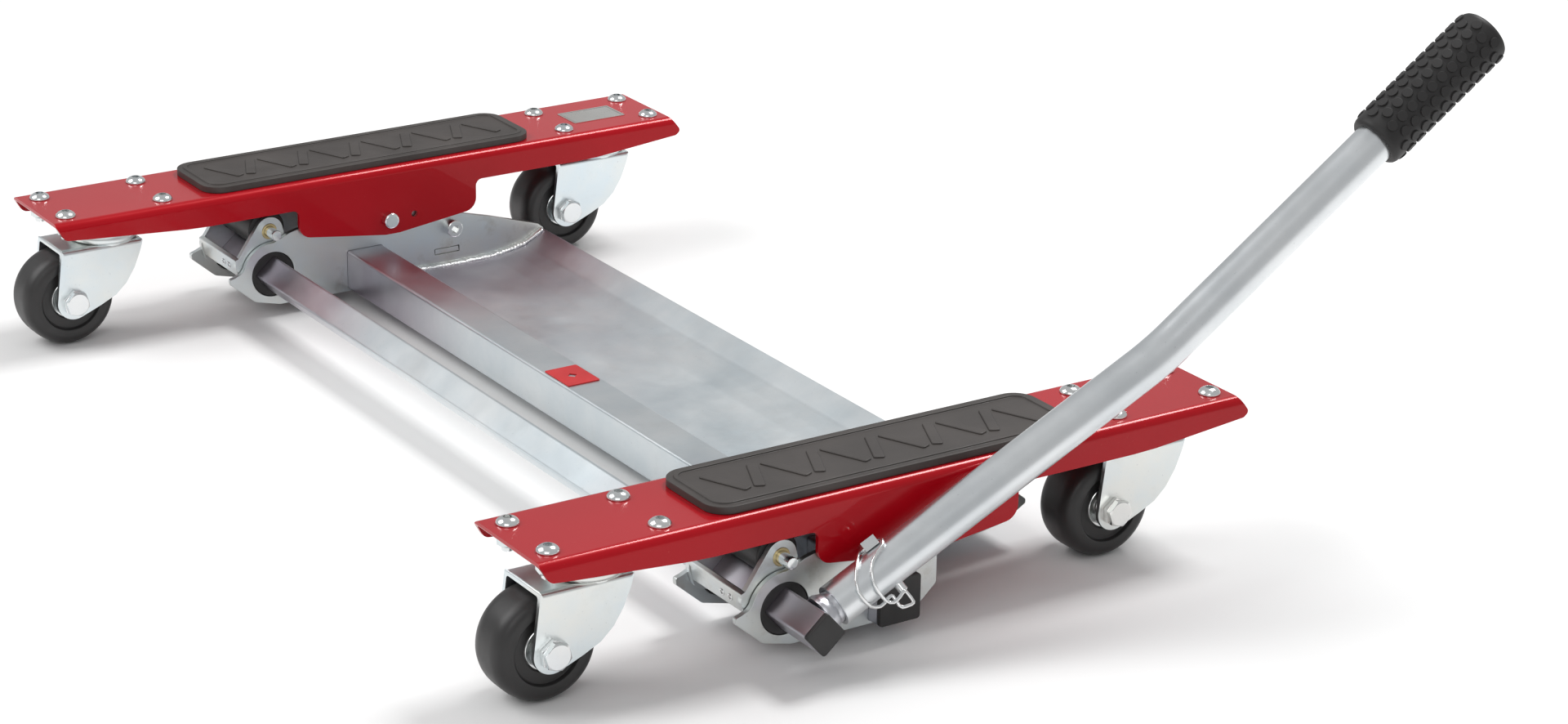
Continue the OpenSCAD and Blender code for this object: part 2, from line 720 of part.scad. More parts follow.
place() color("#a80f1c") at_beam(-1) channel();  // near_channel
place() color("#26262a") at_beam(-1) pad();  // near_pad
place() color("#26262a") at_beam(-1) slide_block();  // near_slide_block
place() color("#b9c0c4") at_beam(-1) castor_plates();  // near_castor_plates
place() color("#c4c8cb") at_beam(-1) button_screws();  // near_button_screws
place() color("#b9c0c4") at_beam(-1) lock_nuts();  // near_lock_nuts
place() color("#c4c8cb") at_beam(-1) pivot_pin();  // near_pivot_pin
place() color("#a80f1c") at_beam(1) channel();  // far_channel
place() color("#26262a") at_beam(1) pad();  // far_pad
place() color("#26262a") at_beam(1) slide_block();  // far_slide_block
place() color("#b9c0c4") at_beam(1) castor_plates();  // far_castor_plates
place() color("#c4c8cb") at_beam(1) button_screws();  // far_button_screws
place() color("#b9c0c4") at_beam(1) lock_nuts();  // far_lock_nuts
place() color("#c4c8cb") at_beam(1) pivot_pin();  // far_pivot_pin
place() color("#d9dcde") at_beam(1) nameplate();  // far_nameplate
place() color("#b9c0c4") at_castor(-1, -1) fork();  // nl_fork
place() color("#c4c8cb") at_castor(-1, -1) axle_bolt();  // nl_axle_bolt
place() color("#26262a") at_castor(-1, -1) wheel();  // nl_wheel
place() color("#c4c8cb") at_castor(-1, -1) bearings();  // nl_bearings
place() color("#b9c0c4") at_castor(-1, 1) fork();  // nr_fork
place() color("#c4c8cb") at_castor(-1, 1) axle_bolt();  // nr_axle_bolt
place() color("#26262a") at_castor(-1, 1) wheel();  // nr_wheel
place() color("#c4c8cb") at_castor(-1, 1) bearings();  // nr_bearings
place() color("#b9c0c4") at_castor(1, -1) fork();  // fl_fork
place() color("#c4c8cb") at_castor(1, -1) axle_bolt();  // fl_axle_bolt
place() color("#26262a") at_castor(1, -1) wheel();  // fl_wheel
place() color("#c4c8cb") at_castor(1, -1) bearings();  // fl_bearings
place() color("#b9c0c4") at_castor(1, 1) fork();  // fr_fork
place() color("#c4c8cb") at_castor(1, 1) axle_bolt();  // fr_axle_bolt
place() color("#26262a") at_castor(1, 1) wheel();  // fr_wheel
place() color("#c4c8cb") at_castor(1, 1) bearings();  // fr_bearings
place() color("#b9c0c4") outer_plate(-1);  // near_outer_plate
place() color("#b9c0c4") inner_plate(-1);  // near_inner_plate
place() color("#b9c0c4") inner_plate(1);  // far_inner_plate
place() color("#b9c0c4") outer_plate(1);  // far_outer_plate
place() color("#b9c0c4") cross_tube();
place() color("#26262a") tube_caps();
place() color("#b9c0c4") deck_sheet();
place() color("#d9dcde") deck_welds();
place() color("#c4c8cb") plate_screws();
place() color("#b9c0c4") plate_nuts();
place() color("#b9c0c4") plate_tabs();
place() color("#a80f1c") tube_marker();
place() color("#b9c0c4") shaft();
place() color("#26262a") shaft_bushes();
place() color("#26262a") shaft_caps();
place() color("#b9c0c4") yoke(-1);  // near_yoke
place() color("#b9c0c4") yoke(1);  // far_yoke
place() color("#c4c8cb") crank_pins();
place() color("#b79a55") pin_bushes();
place() color("#c4c8cb") yoke_screws();
place() color("#b9c0c4") handle_stub();
place() color("#c4c8cb") handle_tube();
place() color("#26262a") grip();
place() color("#c4c8cb") lock_pin();
place() color("#26262a") roller(-1);  // near_roller
place() color("#26262a") roller(1);  // far_roller
place() color("#c4c8cb") pin_bail();
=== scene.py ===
# %% [markdown]
# # A wheeled stand mover in red and zinc
# A motorcycle's stand is set down on the low deck between two red castor beams. Pulling the
# long handle turns a cranked shaft that lifts the deck, and the machine then rolls on four
# castors. The steelwork comes packed from the CAD side as a frame that is already in metres.
# Every piece below is built around that frame, so nothing has to be lined up by eye.

# %% Load the frame
import math
import bpy
from mathutils import Matrix, Vector


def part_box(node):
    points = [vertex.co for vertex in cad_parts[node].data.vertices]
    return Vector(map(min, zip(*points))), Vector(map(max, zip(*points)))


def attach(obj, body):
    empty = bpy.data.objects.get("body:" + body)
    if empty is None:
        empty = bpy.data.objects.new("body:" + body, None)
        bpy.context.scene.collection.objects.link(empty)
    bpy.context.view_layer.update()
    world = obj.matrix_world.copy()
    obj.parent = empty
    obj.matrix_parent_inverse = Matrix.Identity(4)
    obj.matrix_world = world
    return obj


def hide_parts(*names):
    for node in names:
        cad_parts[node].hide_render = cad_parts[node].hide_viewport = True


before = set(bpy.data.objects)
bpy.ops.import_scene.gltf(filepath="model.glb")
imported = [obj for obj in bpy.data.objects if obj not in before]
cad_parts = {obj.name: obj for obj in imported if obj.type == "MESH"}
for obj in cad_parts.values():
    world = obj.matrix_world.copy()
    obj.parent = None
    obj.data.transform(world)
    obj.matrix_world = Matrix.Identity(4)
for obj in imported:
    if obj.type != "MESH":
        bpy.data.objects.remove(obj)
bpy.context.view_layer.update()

# %% [markdown]
# ## Reading positions off the frame
# The drawing of this machine counts in millimetres from the middle of a beam, with x along
# the beams, y across the deck and z up from the floor. The hinge pin of the near beam is a
# handy witness mark: it is 7 mm right of the beam middle and centred on the beam's own line.

# %% Millimetres to metres
MM = 0.001
pin_lo, pin_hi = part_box("near_pivot_pin")
far_lo, far_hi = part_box("far_pivot_pin")
SPACING = round((far_lo.y - pin_lo.y) / MM, 3)
MID_X = (pin_lo.x + pin_hi.x) / 2 - 7 * MM
MID_Y = (pin_lo.y + pin_hi.y + far_lo.y + far_hi.y) / 4
NEAR = -SPACING / 2
TOP = 101.0


def at(x, y, z):
    """A place in the machine's own millimetres, as a point of the frame in metres."""
    return Vector((MID_X + x * MM, MID_Y + y * MM, z * MM))


print("beam spacing", SPACING, "middle", round(MID_X, 5), round(MID_Y, 5))

# %% [markdown]
# ## The camera
# The view stands off the front left corner, a little above the beams, through a long lens.
# The three directions of the camera are written down as they are, so no target is needed.

# %% Camera
camera_data = bpy.data.cameras.new("studio_camera")
camera_data.lens = 87.841
camera_data.sensor_width = 36
camera = bpy.data.objects.new("studio_camera", camera_data)
bpy.context.scene.collection.objects.link(camera)
right = Vector((0.8379711690698298, -0.5454881844542965, 0.01571497465789426))
up = Vector((0.18197459764370047, 0.3064637905742412, 0.9343260623996749))
back = Vector((-0.5144798981691667, -0.780078576611115, 0.3560728137505317))
turned = Matrix((right, up, back)).transposed().to_4x4()
camera.matrix_world = Matrix.Translation((-1.312470, -2.098982, 0.983143)) @ turned
bpy.context.scene.camera = camera
print("camera at", tuple(round(v, 3) for v in camera.matrix_world.translation))

# %% [markdown]
# ## Selecting and finishing
# Loading the frame leaves all its nodes selected, and most operators act on whatever is
# selected. So each tool below starts by selecting just the piece it works on.

# %% Selecting
def take(piece, mode="OBJECT"):
    """Select one piece alone and go to the asked mode."""
    if bpy.context.mode != "OBJECT":
        bpy.ops.object.mode_set(mode="OBJECT")
    bpy.ops.object.select_all(action="DESELECT")
    piece.select_set(True)
    bpy.context.view_layer.objects.active = piece
    if mode == "EDIT":
        bpy.ops.object.mode_set(mode="EDIT")
        bpy.ops.mesh.select_mode(type="VERT")


def settle(piece, name):
    """Name the piece and put its place into its mesh, as the frame's nodes have it."""
    take(piece)
    bpy.ops.object.transform_apply(location=True, rotation=True, scale=True)
    piece.name = name
    piece.data.name = name
    return piece


def pick(piece, kind, test):
    """In edit mode, select the faces, edges or vertices whose middle and normal pass a test."""
    bpy.ops.mesh.select_all(action="DESELECT")
    bpy.ops.mesh.select_mode(type=kind)
    bpy.ops.object.mode_set(mode="OBJECT")
    mesh, count = piece.data, 0
    if kind == "FACE":
        for face in mesh.polygons:
            face.select = test(face.center, face.normal)
            count += face.select
    elif kind == "EDGE":
        for edge in mesh.edges:
            a, b = (mesh.vertices[i].co for i in edge.vertices)
            edge.select = test((a + b) / 2, (b - a).normalized())
            count += edge.select
    else:
        for vertex in mesh.vertices:
            vertex.select = test(vertex.co, vertex.normal)
            count += vertex.select
    bpy.ops.object.mode_set(mode="EDIT")
    return count


def apply_modifier(piece, kind, **settings):
    """Add one modifier, set it and apply it."""
    take(piece)
    modifier = piece.modifiers.new(kind.lower(), kind)
    for key, value in settings.items():
        setattr(modifier, key, value)
    bpy.ops.object.modifier_apply(modifier=modifier.name)


def soften(piece, width, segments=2, angle=35, smooth=38):
    """Break the sharp edges by a small round, in millimetres, and shade the piece."""
    if width:
        apply_modifier(piece, "BEVEL", width=width * MM, segments=segments,
                       limit_method="ANGLE", angle_limit=math.radians(angle),
                       use_clamp_overlap=True, miter_outer="MITER_ARC")
    take(piece)
    bpy.ops.object.shade_smooth_by_angle(angle=math.radians(smooth))
    apply_modifier(piece, "WEIGHTED_NORMAL", keep_sharp=True, weight=80)
    return piece


print("tools ready")

# %% [markdown]
# ## Tracing an outline
# Flat steel parts are cut from sheet. By hand you would put down one point and extrude it
# from corner to corner, then fill the loop. A small plane merged to its middle is that first
# point. The corners are listed with the radius that the cutter leaves at each.

# %% Tracing
def rounded(corners, steps=5):
    """Corners (u, v) or (u, v, radius) in order, with every radius drawn as a short arc."""
    points, n = [], len(corners)
    for i, corner in enumerate(corners):
        here = Vector(corner[:2])
        radius = corner[2] if len(corner) > 2 else 0
        if not radius:
            points.append(here)
            continue
        before = (Vector(corners[i - 1][:2]) - here)
        after = (Vector(corners[(i + 1) % n][:2]) - here)
        half = before.angle(after) / 2
        reach = min(radius / math.tan(half), before.length * 0.49, after.length * 0.49)
        radius = reach * math.tan(half)
        middle = here + (before.normalized() + after.normalized()).normalized() * radius / math.sin(half)
        a = here + before.normalized() * reach - middle
        b = here + after.normalized() * reach - middle
        sweep = a.angle_signed(b)
        for k in range(steps + 1):
            turn_by = Matrix.Rotation(-sweep * k / steps, 2)
            points.append(middle + turn_by @ a)
    return points


def trace(points, closed=True, fill=True):
    """Extrude one point from place to place; close and fill the loop when asked."""
    bpy.ops.object.select_all(action="DESELECT")
    bpy.ops.mesh.primitive_plane_add(size=MM, location=points[0])
    piece = bpy.context.active_object
    take(piece, "EDIT")
    bpy.ops.mesh.select_all(action="SELECT")
    bpy.ops.mesh.merge(type="CENTER")
    last = points[0]
    for point in points[1:] + (points[:1] if closed else []):
        step = point - last
        if step.length > 1e-7:
            bpy.ops.mesh.extrude_vertices_move(TRANSFORM_OT_translate={"value": step})
        last = point
    bpy.ops.mesh.select_all(action="SELECT")
    bpy.ops.mesh.remove_doubles(threshold=1e-6)
    if closed and fill:
        bpy.ops.mesh.select_all(action="SELECT")
        bpy.ops.mesh.edge_face_add()
    return piece


def plate(name, corners, y0, y1, offset=(0, 0), steps=5):
    """A plate standing in the x-z plane, from y0 to y1; corners in mm, z up from the floor."""
    outline = [at(p.x + offset[0], y0, p.y + offset[1]) for p in rounded(corners, steps)]
    piece = trace(outline)
    bpy.ops.mesh.extrude_region_move(TRANSFORM_OT_translate={"value": (0, (y1 - y0) * MM, 0)})
    bpy.ops.mesh.select_all(action="SELECT")
    bpy.ops.mesh.normals_make_consistent(inside=False)
    return settle(piece, name)


print("tracing ready")

# %% [markdown]
# ## Turning on a lathe
# Wheels, bearings, pins and screw heads are turned parts. Half of the section is traced once
# as an open line, and spin carries it round the axis.

# %% Turning
def turned_piece(name, profile, centre, axis, steps=48):
    """Spin (radius, along) points in mm round an axis through centre."""
    axis = Vector(axis).normalized()
    side = Vector((0, 0, 1)) if abs(axis.z) < 0.5 else Vector((1, 0, 0))
    side = (side - axis * side.dot(axis)).normalized()
    points = [centre + side * r * MM + axis * h * MM for r, h in profile]
    piece = trace(points, closed=False)
    bpy.ops.mesh.select_all(action="SELECT")
    bpy.ops.mesh.spin(steps=steps, angle=2 * math.pi, center=centre, axis=axis)
    bpy.ops.mesh.select_all(action="SELECT")
    bpy.ops.mesh.remove_doubles(threshold=2e-6)
    bpy.ops.mesh.normals_make_consistent(inside=False)
    return settle(piece, name)


def hexagon_bar(name, across, length, centre, axis, twist=0.0):
    """A hexagon bar, across its flats, standing on centre along an axis."""
    bpy.ops.object.select_all(action="DESELECT")
    axis = Vector(axis).normalized()
    facing = axis.to_track_quat("Z", "Y") @ Matrix.Rotation(twist, 3, "Z").to_quaternion()
    bpy.ops.mesh.primitive_cylinder_add(
        vertices=6, radius=across / 2 / math.cos(math.pi / 6) * MM, depth=length * MM,
        location=centre + axis * length / 2 * MM, rotation=facing.to_euler())
    return settle(bpy.context.active_object, name)


def box(name, low, high):
    """A block from its low corner to its high corner, both in mm."""
    a, b = at(*low), at(*high)
    bpy.ops.object.select_all(action="DESELECT")
    bpy.ops.mesh.primitive_cube_add(size=1, location=(a + b) / 2, scale=b - a)
    return settle(bpy.context.active_object, name)


def cut(piece, cutter, operation="DIFFERENCE"):
    """Take a cutter out of the piece, or keep only what both share."""
    apply_modifier(piece, "BOOLEAN", operation=operation, object=cutter, solver="EXACT")
    bpy.data.objects.remove(cutter)
    return piece


def joined(name, pieces):
    """Make one piece of several."""
    take(pieces[0])
    for piece in pieces[1:]:
        piece.select_set(True)
    if len(pieces) > 1:
        bpy.ops.object.join()
    pieces[0].name = name
    pieces[0].data.name = name
    return pieces[0]


def copied(piece, name, shift, spin=0.0, about=(0, 0, 0)):
    """A copy with its own mesh, turned about the upright through a point, then moved in mm."""
    take(piece)
    bpy.ops.object.duplicate(linked=False)
    twin = bpy.context.active_object
    pivot = Vector(about)
    place = (Matrix.Translation(Vector(shift) * MM) @ Matrix.Translation(pivot)
             @ Matrix.Rotation(spin, 4, "Z") @ Matrix.Translation(-pivot))
    twin.matrix_world = place @ twin.matrix_world
    return settle(twin, name)


print("lathe ready")

# %% [markdown]
# ## The red channels
# Each beam is a shallow channel folded from 3 mm sheet. The section is traced once and
# extruded to the beam's length, so the two folds keep a true radius that will carry the
# long highlight. The side outline, with its tapered ends and the hinge lug, is then kept by
# a boolean with a plate of that outline. A small bevel gives the thick edge of the paint.

# %% Channel
FOLD, SHEET, HALF_W, HALF_L = 6.0, 3.0, 40.0, 256.0


def channel_section(inset):
    """Half of the folded section as (y, z) points, from the flange foot to the middle."""
    r, edge = FOLD - inset, HALF_W - inset
    arc = [(edge - r + r * math.cos(a), -FOLD + r * math.sin(a))
           for a in [math.pi / 2 * k / 8 for k in range(9)]]
    return [(edge, -60)] + arc


outer = channel_section(0)
inner = channel_section(SHEET)
ring = outer + [(-y, z) for y, z in reversed(outer)]
ring += [(y, z) for y, z in [(-y, z) for y, z in inner]] + list(reversed(inner))
near_channel = trace([at(-HALF_L, NEAR + y, TOP + z) for y, z in ring])
bpy.ops.mesh.extrude_region_move(TRANSFORM_OT_translate={"value": ((2 * HALF_L + 8) * MM, 0, 0)})
bpy.ops.mesh.select_all(action="SELECT")
bpy.ops.mesh.normals_make_consistent(inside=False)
settle(near_channel, "near_red_channel")
flange = [(-256.5, 8), (-256.5, -1.5, 6), (-250, -12.6, 6), (-232, -14.3), (-192, -17.3),
          (-156, -20.1), (-140, -20.7), (-66.8, -20.7, 5), (-66.8, -42, 10), (4, -52, 10),
          (16, -52, 10), (81, -44, 10), (81, -21.2, 5), (170, -21.2), (188, -20.6),
          (258.2, -14.2, 3.5), (262.4, -10.8, 3.5), (253.6, 1), (253.6, 8)]
outline = plate("flange_outline", flange, NEAR - 50, NEAR + 50, offset=(0, TOP), steps=6)
cut(near_channel, outline, "INTERSECT")
hole = turned_piece("lug_hole", [(0, -60), (2.5, -60), (2.5, 60), (0, 60)],
                    at(28.4, NEAR, TOP - 39.5), (0, 1, 0), 24)
cut(near_channel, hole)
soften(near_channel, 0.55, 3)
print("channel", len(near_channel.data.polygons), "faces")

# %% [markdown]
# ## The rubber foot pads
# The pad is moulded: a slab with rounded corners, a thin raised bead that follows the edge,
# and raised bars for grip. A cube is bevelled at its four upright edges, the top is inset
# twice and the strip between the two insets is raised. The bars are small bevelled blocks.

# %% Pad
PAD_L, PAD_W, PAD_H = 270.0, 67.0, 5.0


def from_pad_edge(point):
    """How far inside the pad's rounded outline a point lies, in mm."""
    local = (point - at(0, NEAR, 0)) / MM
    dx, dy = abs(local.x) - (PAD_L / 2 - 15), abs(local.y) - (PAD_W / 2 - 15)
    outside = math.hypot(max(dx, 0), max(dy, 0)) + min(max(dx, dy), 0)
    return 15 - outside


near_pad = box("near_foot_pad", (-PAD_L / 2, NEAR - PAD_W / 2, TOP + 0.02),
               (PAD_L / 2, NEAR + PAD_W / 2, TOP + PAD_H))
take(near_pad, "EDIT")
pick(near_pad, "EDGE", lambda middle, along: abs(along.z) > 0.9)
bpy.ops.mesh.bevel(offset=15 * MM, segments=10, affect="EDGES")
pick(near_pad, "FACE", lambda middle, normal: normal.z > 0.9)
bpy.ops.mesh.inset(thickness=4.4 * MM)
bpy.ops.mesh.inset(thickness=3.0 * MM)
top_z = (TOP + PAD_H) * MM
pick(near_pad, "FACE", lambda middle, normal: normal.z > 0.9 and 4.6 < from_pad_edge(middle) < 7.2)
bpy.ops.mesh.extrude_region_move(TRANSFORM_OT_translate={"value": (0, 0, 1.0 * MM)})
bpy.ops.object.mode_set(mode="OBJECT")
soften(near_pad, 1.3, 4, angle=50)
bars = []
for i in range(-5, 6):
    bar = box("bar", (i * 21.5 - 3.5, NEAR - 17, TOP + PAD_H - 0.6), (i * 21.5 + 3.5, NEAR + 17, TOP + 6))
    take(bar, "EDIT")
    bpy.ops.mesh.select_all(action="SELECT")
    lean = math.radians(24 if i % 2 == 0 else -24)
    bpy.ops.transform.rotate(value=lean, orient_axis="Z", center_override=at(i * 21.5, NEAR, TOP))
    pick(bar, "EDGE", lambda middle, along: abs(along.z) > 0.9)
    bpy.ops.mesh.bevel(offset=1.6 * MM, segments=4, affect="EDGES")
    bpy.ops.object.mode_set(mode="OBJECT")
    soften(bar, 0.7, 3, angle=50)
    bars.append(bar)
near_pad = joined("near_foot_pad", [near_pad] + bars)
print("pad", len(near_pad.data.polygons), "faces")

# %% [markdown]
# ## Button screws and lock nuts
# Eight button-head screws hold the castors of a beam. The dome is turned, the socket is a
# hexagon cut out of it, and its mouth is broken by a small bevel that catches the light.

# %% Button screws
CASTOR_X, BOLT_X, BOLT_Y = 204.75, 75.0, 47.0
bolt_places = [(cx * CASTOR_X + sx * BOLT_X / 2, sy * BOLT_Y / 2)
               for cx in (-1, 1) for sx in (-1, 1) for sy in (-1, 1)]
dome = [(0, 0.02), (6.9, 0.02), (7.2, 0.3), (7.2, 0.8), (7.05, 1.35), (6.6, 2.1), (5.9, 2.85),
        (5.0, 3.5), (4.1, 3.95), (3.4, 4.2), (2.9, 4.3), (0, 4.3)]
first = at(bolt_places[0][0], NEAR + bolt_places[0][1], TOP)
screw = turned_piece("button_screw", dome, first, (0, 0, 1), 40)
cut(screw, hexagon_bar("socket", 5.0, 4, first + Vector((0, 0, 1.5 * MM)), (0, 0, 1), 0.4))
soften(screw, 0.22, 2, angle=48, smooth=30)
thread = turned_piece("thread", [(0, -16.8), (3.4, -16.8), (3.9, -16.2), (3.9, 0)], first, (0, 0, 1), 20)
soften(thread, 0)
screw = joined("button_screw", [screw, thread])
nut = hexagon_bar("lock_nut", 13, 6.2, first - Vector((0, 0, 6.05 * MM)), (0, 0, -1), 0.2)
soften(nut, 0.5, 2)
collar = turned_piece("collar", [(0, -12), (6.1, -12), (6.0, -12.8), (5.2, -13.6), (4.1, -13.8), (0, -13.8)],
                      first, (0, 0, 1), 32)
soften(collar, 0)
nut = joined("lock_nut", [nut, collar])


def set_of(piece, name, places):
    """Copy one small part to all its places and join them."""
    x0, y0 = places[0]
    rest = [copied(piece, name, (x - x0, y - y0, 0), spin=0.7 * k, about=first)
            for k, (x, y) in enumerate(places) if k]
    return joined(name, [piece] + rest)


near_screws = set_of(screw, "near_cap_screws", bolt_places)
near_nuts = set_of(nut, "near_nylon_nuts", bolt_places)
print("screws", len(near_screws.data.polygons), "nuts", len(near_nuts.data.polygons))

# %% [markdown]
# ## Castor mounting plates, wear block and hinge pin
# Under each beam end sits a pressed plate with a round ball cup. The wear block is a plain
# moulded slab that the crank roller pushes on. The hinge pin is a turned bar.

# %% Under the beam
plates = []
for end in (-1, 1):
    x = end * CASTOR_X
    slab = box("slab", (x - 47, NEAR - 32, TOP - 6.02), (x + 47, NEAR + 32, TOP - 3.02))
    take(slab, "EDIT")
    pick(slab, "EDGE", lambda middle, along: abs(along.z) > 0.9)
    bpy.ops.mesh.bevel(offset=6 * MM, segments=6, affect="EDGES")
    bpy.ops.object.mode_set(mode="OBJECT")
    soften(slab, 0.5, 2)
    cup = [(6, -14.2), (23.4, -14.2), (24.4, -13.6), (25.5, -12.2), (25.5, -9.8), (24.6, -8.2),
           (23, -7.4), (23, -6.0), (6, -6.0)]
    cup = soften(turned_piece("cup", cup, at(x, NEAR, TOP), (0, 0, 1), 64), 0, smooth=40)
    king = [(0, -29.6), (7.4, -29.6), (8, -29), (8, -27.4), (6, -27.4), (6, -6), (0, -6)]
    king = soften(turned_piece("kingpin", king, at(x, NEAR, TOP), (0, 0, 1), 32), 0.2)
    plates += [slab, cup, king]
near_mounts = joined("near_mounting_plates", plates)
block = box("near_wear_block", (-129, NEAR - 24, TOP - 17.6), (-45, NEAR + 24, TOP - 3.02))
take(block, "EDIT")
pick(block, "EDGE", lambda middle, along: abs(along.z) > 0.9)
bpy.ops.mesh.bevel(offset=4 * MM, segments=5, affect="EDGES")
bpy.ops.object.mode_set(mode="OBJECT")
near_block = soften(block, 0.8, 3)
pin = [(0, -46), (4.6, -46), (5.2, -45.8), (5.8, -45.2), (6, -44.6), (6, 44.6), (5.8, 45.2),
       (5.2, 45.8), (4.6, 46), (0, 46)]
near_pin = soften(turned_piece("near_hinge_pin", pin, at(7, NEAR, TOP - 40), (0, 1, 0), 48), 0)
print("mounts", len(near_mounts.data.polygons), "block", len(near_block.data.polygons))

# %% [markdown]
# ## The castor fork
# The fork is pressed from one sheet. The leg's outline is traced and extruded across the
# whole width, the space for the wheel is taken out, and the long edges where the sheet was
# folded get a generous bevel. The raised bearing cup on top is turned.

# %% Fork
AXLE_X, AXLE_Z, FORK_HALF = -33.0, -66.5, 21.5
leg = [(-41, -27, 1.5), (-45.2, -60), (-46, -66.5)]
for k in range(1, 12):
    a = math.pi + math.pi * 0.62 * k / 11
    leg.append((AXLE_X + 13 * math.cos(a), AXLE_Z + 13 * math.sin(a)))
leg += [(-13, -72.3), (-1, -66.5), (7.6, -58.6), (14.4, -48), (19.4, -36), (22, -27, 1.5)]
ccx, ccy = -CASTOR_X, NEAR
fork = plate("nl_pressed_fork", leg, ccy - FORK_HALF, ccy + FORK_HALF, offset=(ccx, TOP), steps=3)
wheel_room = box("wheel_room", (ccx - 60, ccy - FORK_HALF + 3, TOP - 100), (ccx + 60, ccy + FORK_HALF - 3, TOP - 30))
take(wheel_room, "EDIT")
pick(wheel_room, "EDGE", lambda middle, along: abs(along.x) > 0.9 and middle.z > (TOP - 35) * MM)
bpy.ops.mesh.bevel(offset=2.0 * MM, segments=4, affect="EDGES")
bpy.ops.object.mode_set(mode="OBJECT")
cut(fork, wheel_room)
bolt_way = turned_piece("way", [(0, -40), (5.1, -40), (5.1, 40), (0, 40)], at(ccx + AXLE_X, ccy, TOP + AXLE_Z), (0, 1, 0), 32)
cut(fork, bolt_way)
take(fork, "EDIT")
pick(fork, "EDGE", lambda middle, along: abs(along.x) > 0.95 and middle.z > (TOP - 27.2) * MM
     and abs(middle.y - at(0, ccy, 0).y) > 21 * MM)
bpy.ops.mesh.bevel(offset=3.6 * MM, segments=6, affect="EDGES")
bpy.ops.object.mode_set(mode="OBJECT")
soften(fork, 0.7, 3, angle=42)
race = [(6.1, -27.2), (20.4, -27.2), (24.2, -26.9), (25.4, -26), (25.8, -24.6), (25.8, -22.8), (25, -21.8),
        (25, -15.2), (24.2, -14.6), (22, -14.45), (6.1, -14.45)]
race = soften(turned_piece("race", race, at(ccx, ccy, TOP), (0, 0, 1), 64), 0, smooth=45)
rim_plate = turned_piece("crown", [(8.4, -30), (20.6, -30), (21.4, -29.3), (21.4, -27), (8.4, -27)],
                         at(ccx, ccy, TOP), (0, 0, 1), 48)
soften(rim_plate, 0)
fork = joined("nl_pressed_fork", [fork, race, rim_plate])
print("fork", len(fork.data.polygons), "faces")

# %% [markdown]
# ## Axle bolt, wheel and bearings
# The bolt head is a hexagon whose face was turned to a chamfer, so it is what a hexagon bar
# and a turned blank have in common. The wheel is one turned section: tread, round shoulder,
# raised side ring and sunken disc, with the steel bearings in its middle.

# %% Axle bolt
def hex_head(name, across, start, length, chamfer, twist, out):
    """A hexagon head or nut with a chamfered outer face, along y in the direction out."""
    middle = at(ccx + AXLE_X, ccy + start * out, TOP + AXLE_Z)
    bar_piece = hexagon_bar(name, across, length, middle, (0, out, 0), twist)
    reach = across / 2 / math.cos(math.pi / 6)
    blank = turned_piece("blank", [(0, -1), (reach + 1, -1), (reach + 1, length - chamfer * 0.75),
                                   (across / 2 - 0.3, length), (0, length)], middle, (0, out, 0), 48)
    cut(bar_piece, blank, "INTERSECT")
    return soften(bar_piece, 0.25, 2, angle=22, smooth=25)


base_hex = hex_head("base_hex", 17, 21.55, 2.9, 0.4, 0.10, -1)
head = hex_head("head", 16, 24.45, 4.0, 1.5, 0.26, -1)
nut_end = hex_head("nut_end", 16, 21.55, 8.0, 1.5, 0.17, 1)
shank = turned_piece("shank", [(0, -22), (4.95, -22), (4.95, 30), (4.4, 30.6), (0, 30.6)],
                     at(ccx + AXLE_X, ccy, TOP + AXLE_Z), (0, 1, 0), 32)
soften(shank, 0)
axle_bolt = joined("nl_hex_axle_bolt", [head, base_hex, nut_end, shank])
print("axle bolt", len(axle_bolt.data.polygons), "faces")

# %% Wheel
side = [(14, 12.5), (15, 13.3), (21.4, 13.3), (22.0, 13.7), (22.5, 15.2), (22.9, 16.1), (23.6, 16.5), (27.2, 16.5),
        (28.6, 16.3), (29.9, 15.8), (31.1, 15.0), (32.1, 14.0), (32.9, 12.7), (33.5, 11.2), (34.0, 9.6),
        (34.3, 7.8), (34.45, 5.6)]
wheel_profile = side + [(34.5, 0)] + [(r, -h) for r, h in reversed(side)] + [(14, 12.5)]
wheel = turned_piece("nl_castor_wheel", wheel_profile, at(ccx + AXLE_X, ccy, TOP + AXLE_Z), (0, 1, 0), 96)
soften(wheel, 0, smooth=33)
print("wheel", len(wheel.data.polygons), "faces")

# %% Bearings
half = [(5.08, 3.5), (13.97, 3.5), (13.97, 12.6), (13.6, 12.95), (12.2, 12.95), (11.9, 12.6), (11.6, 12.05),
        (8.7, 12.05), (8.5, 12.6), (8.25, 12.95), (8.2, 17.9), (5.08, 18.0), (5.08, 3.5)]
rings = []
for s in (-1, 1):
    bearing = turned_piece("bearing", half, at(ccx + AXLE_X, ccy, TOP + AXLE_Z), (0, s, 0), 56)
    rings.append(soften(bearing, 0, smooth=30))
bearings = joined("nl_bearing_pair", rings)
print("bearings", len(bearings.data.polygons), "faces")

# %% [markdown]
# ## The deck frame
# Four side plates carry the shaft bushes, the hinge pins and the square cross tube. A plate
# is cut from 4 mm sheet, so its outline is traced with the radius of each corner, and the
# openings are cut through. The cut edge of such a plate is never sharp: a bevel breaks it.

# %% Side plates
SHAFT_X, SHAFT_Z, TUBE_X, TUBE_Z = -87.3, 33.2, -11.5, 25.5


def round_about(x, z, radius, a0, a1, count):
    """Points on a circle of a plate outline, from one angle to another, in degrees."""
    return [(x + radius * math.cos(math.radians(a0 + (a1 - a0) * k / count)),
             z + radius * math.sin(math.radians(a0 + (a1 - a0) * k / count))) for k in range(count + 1)]


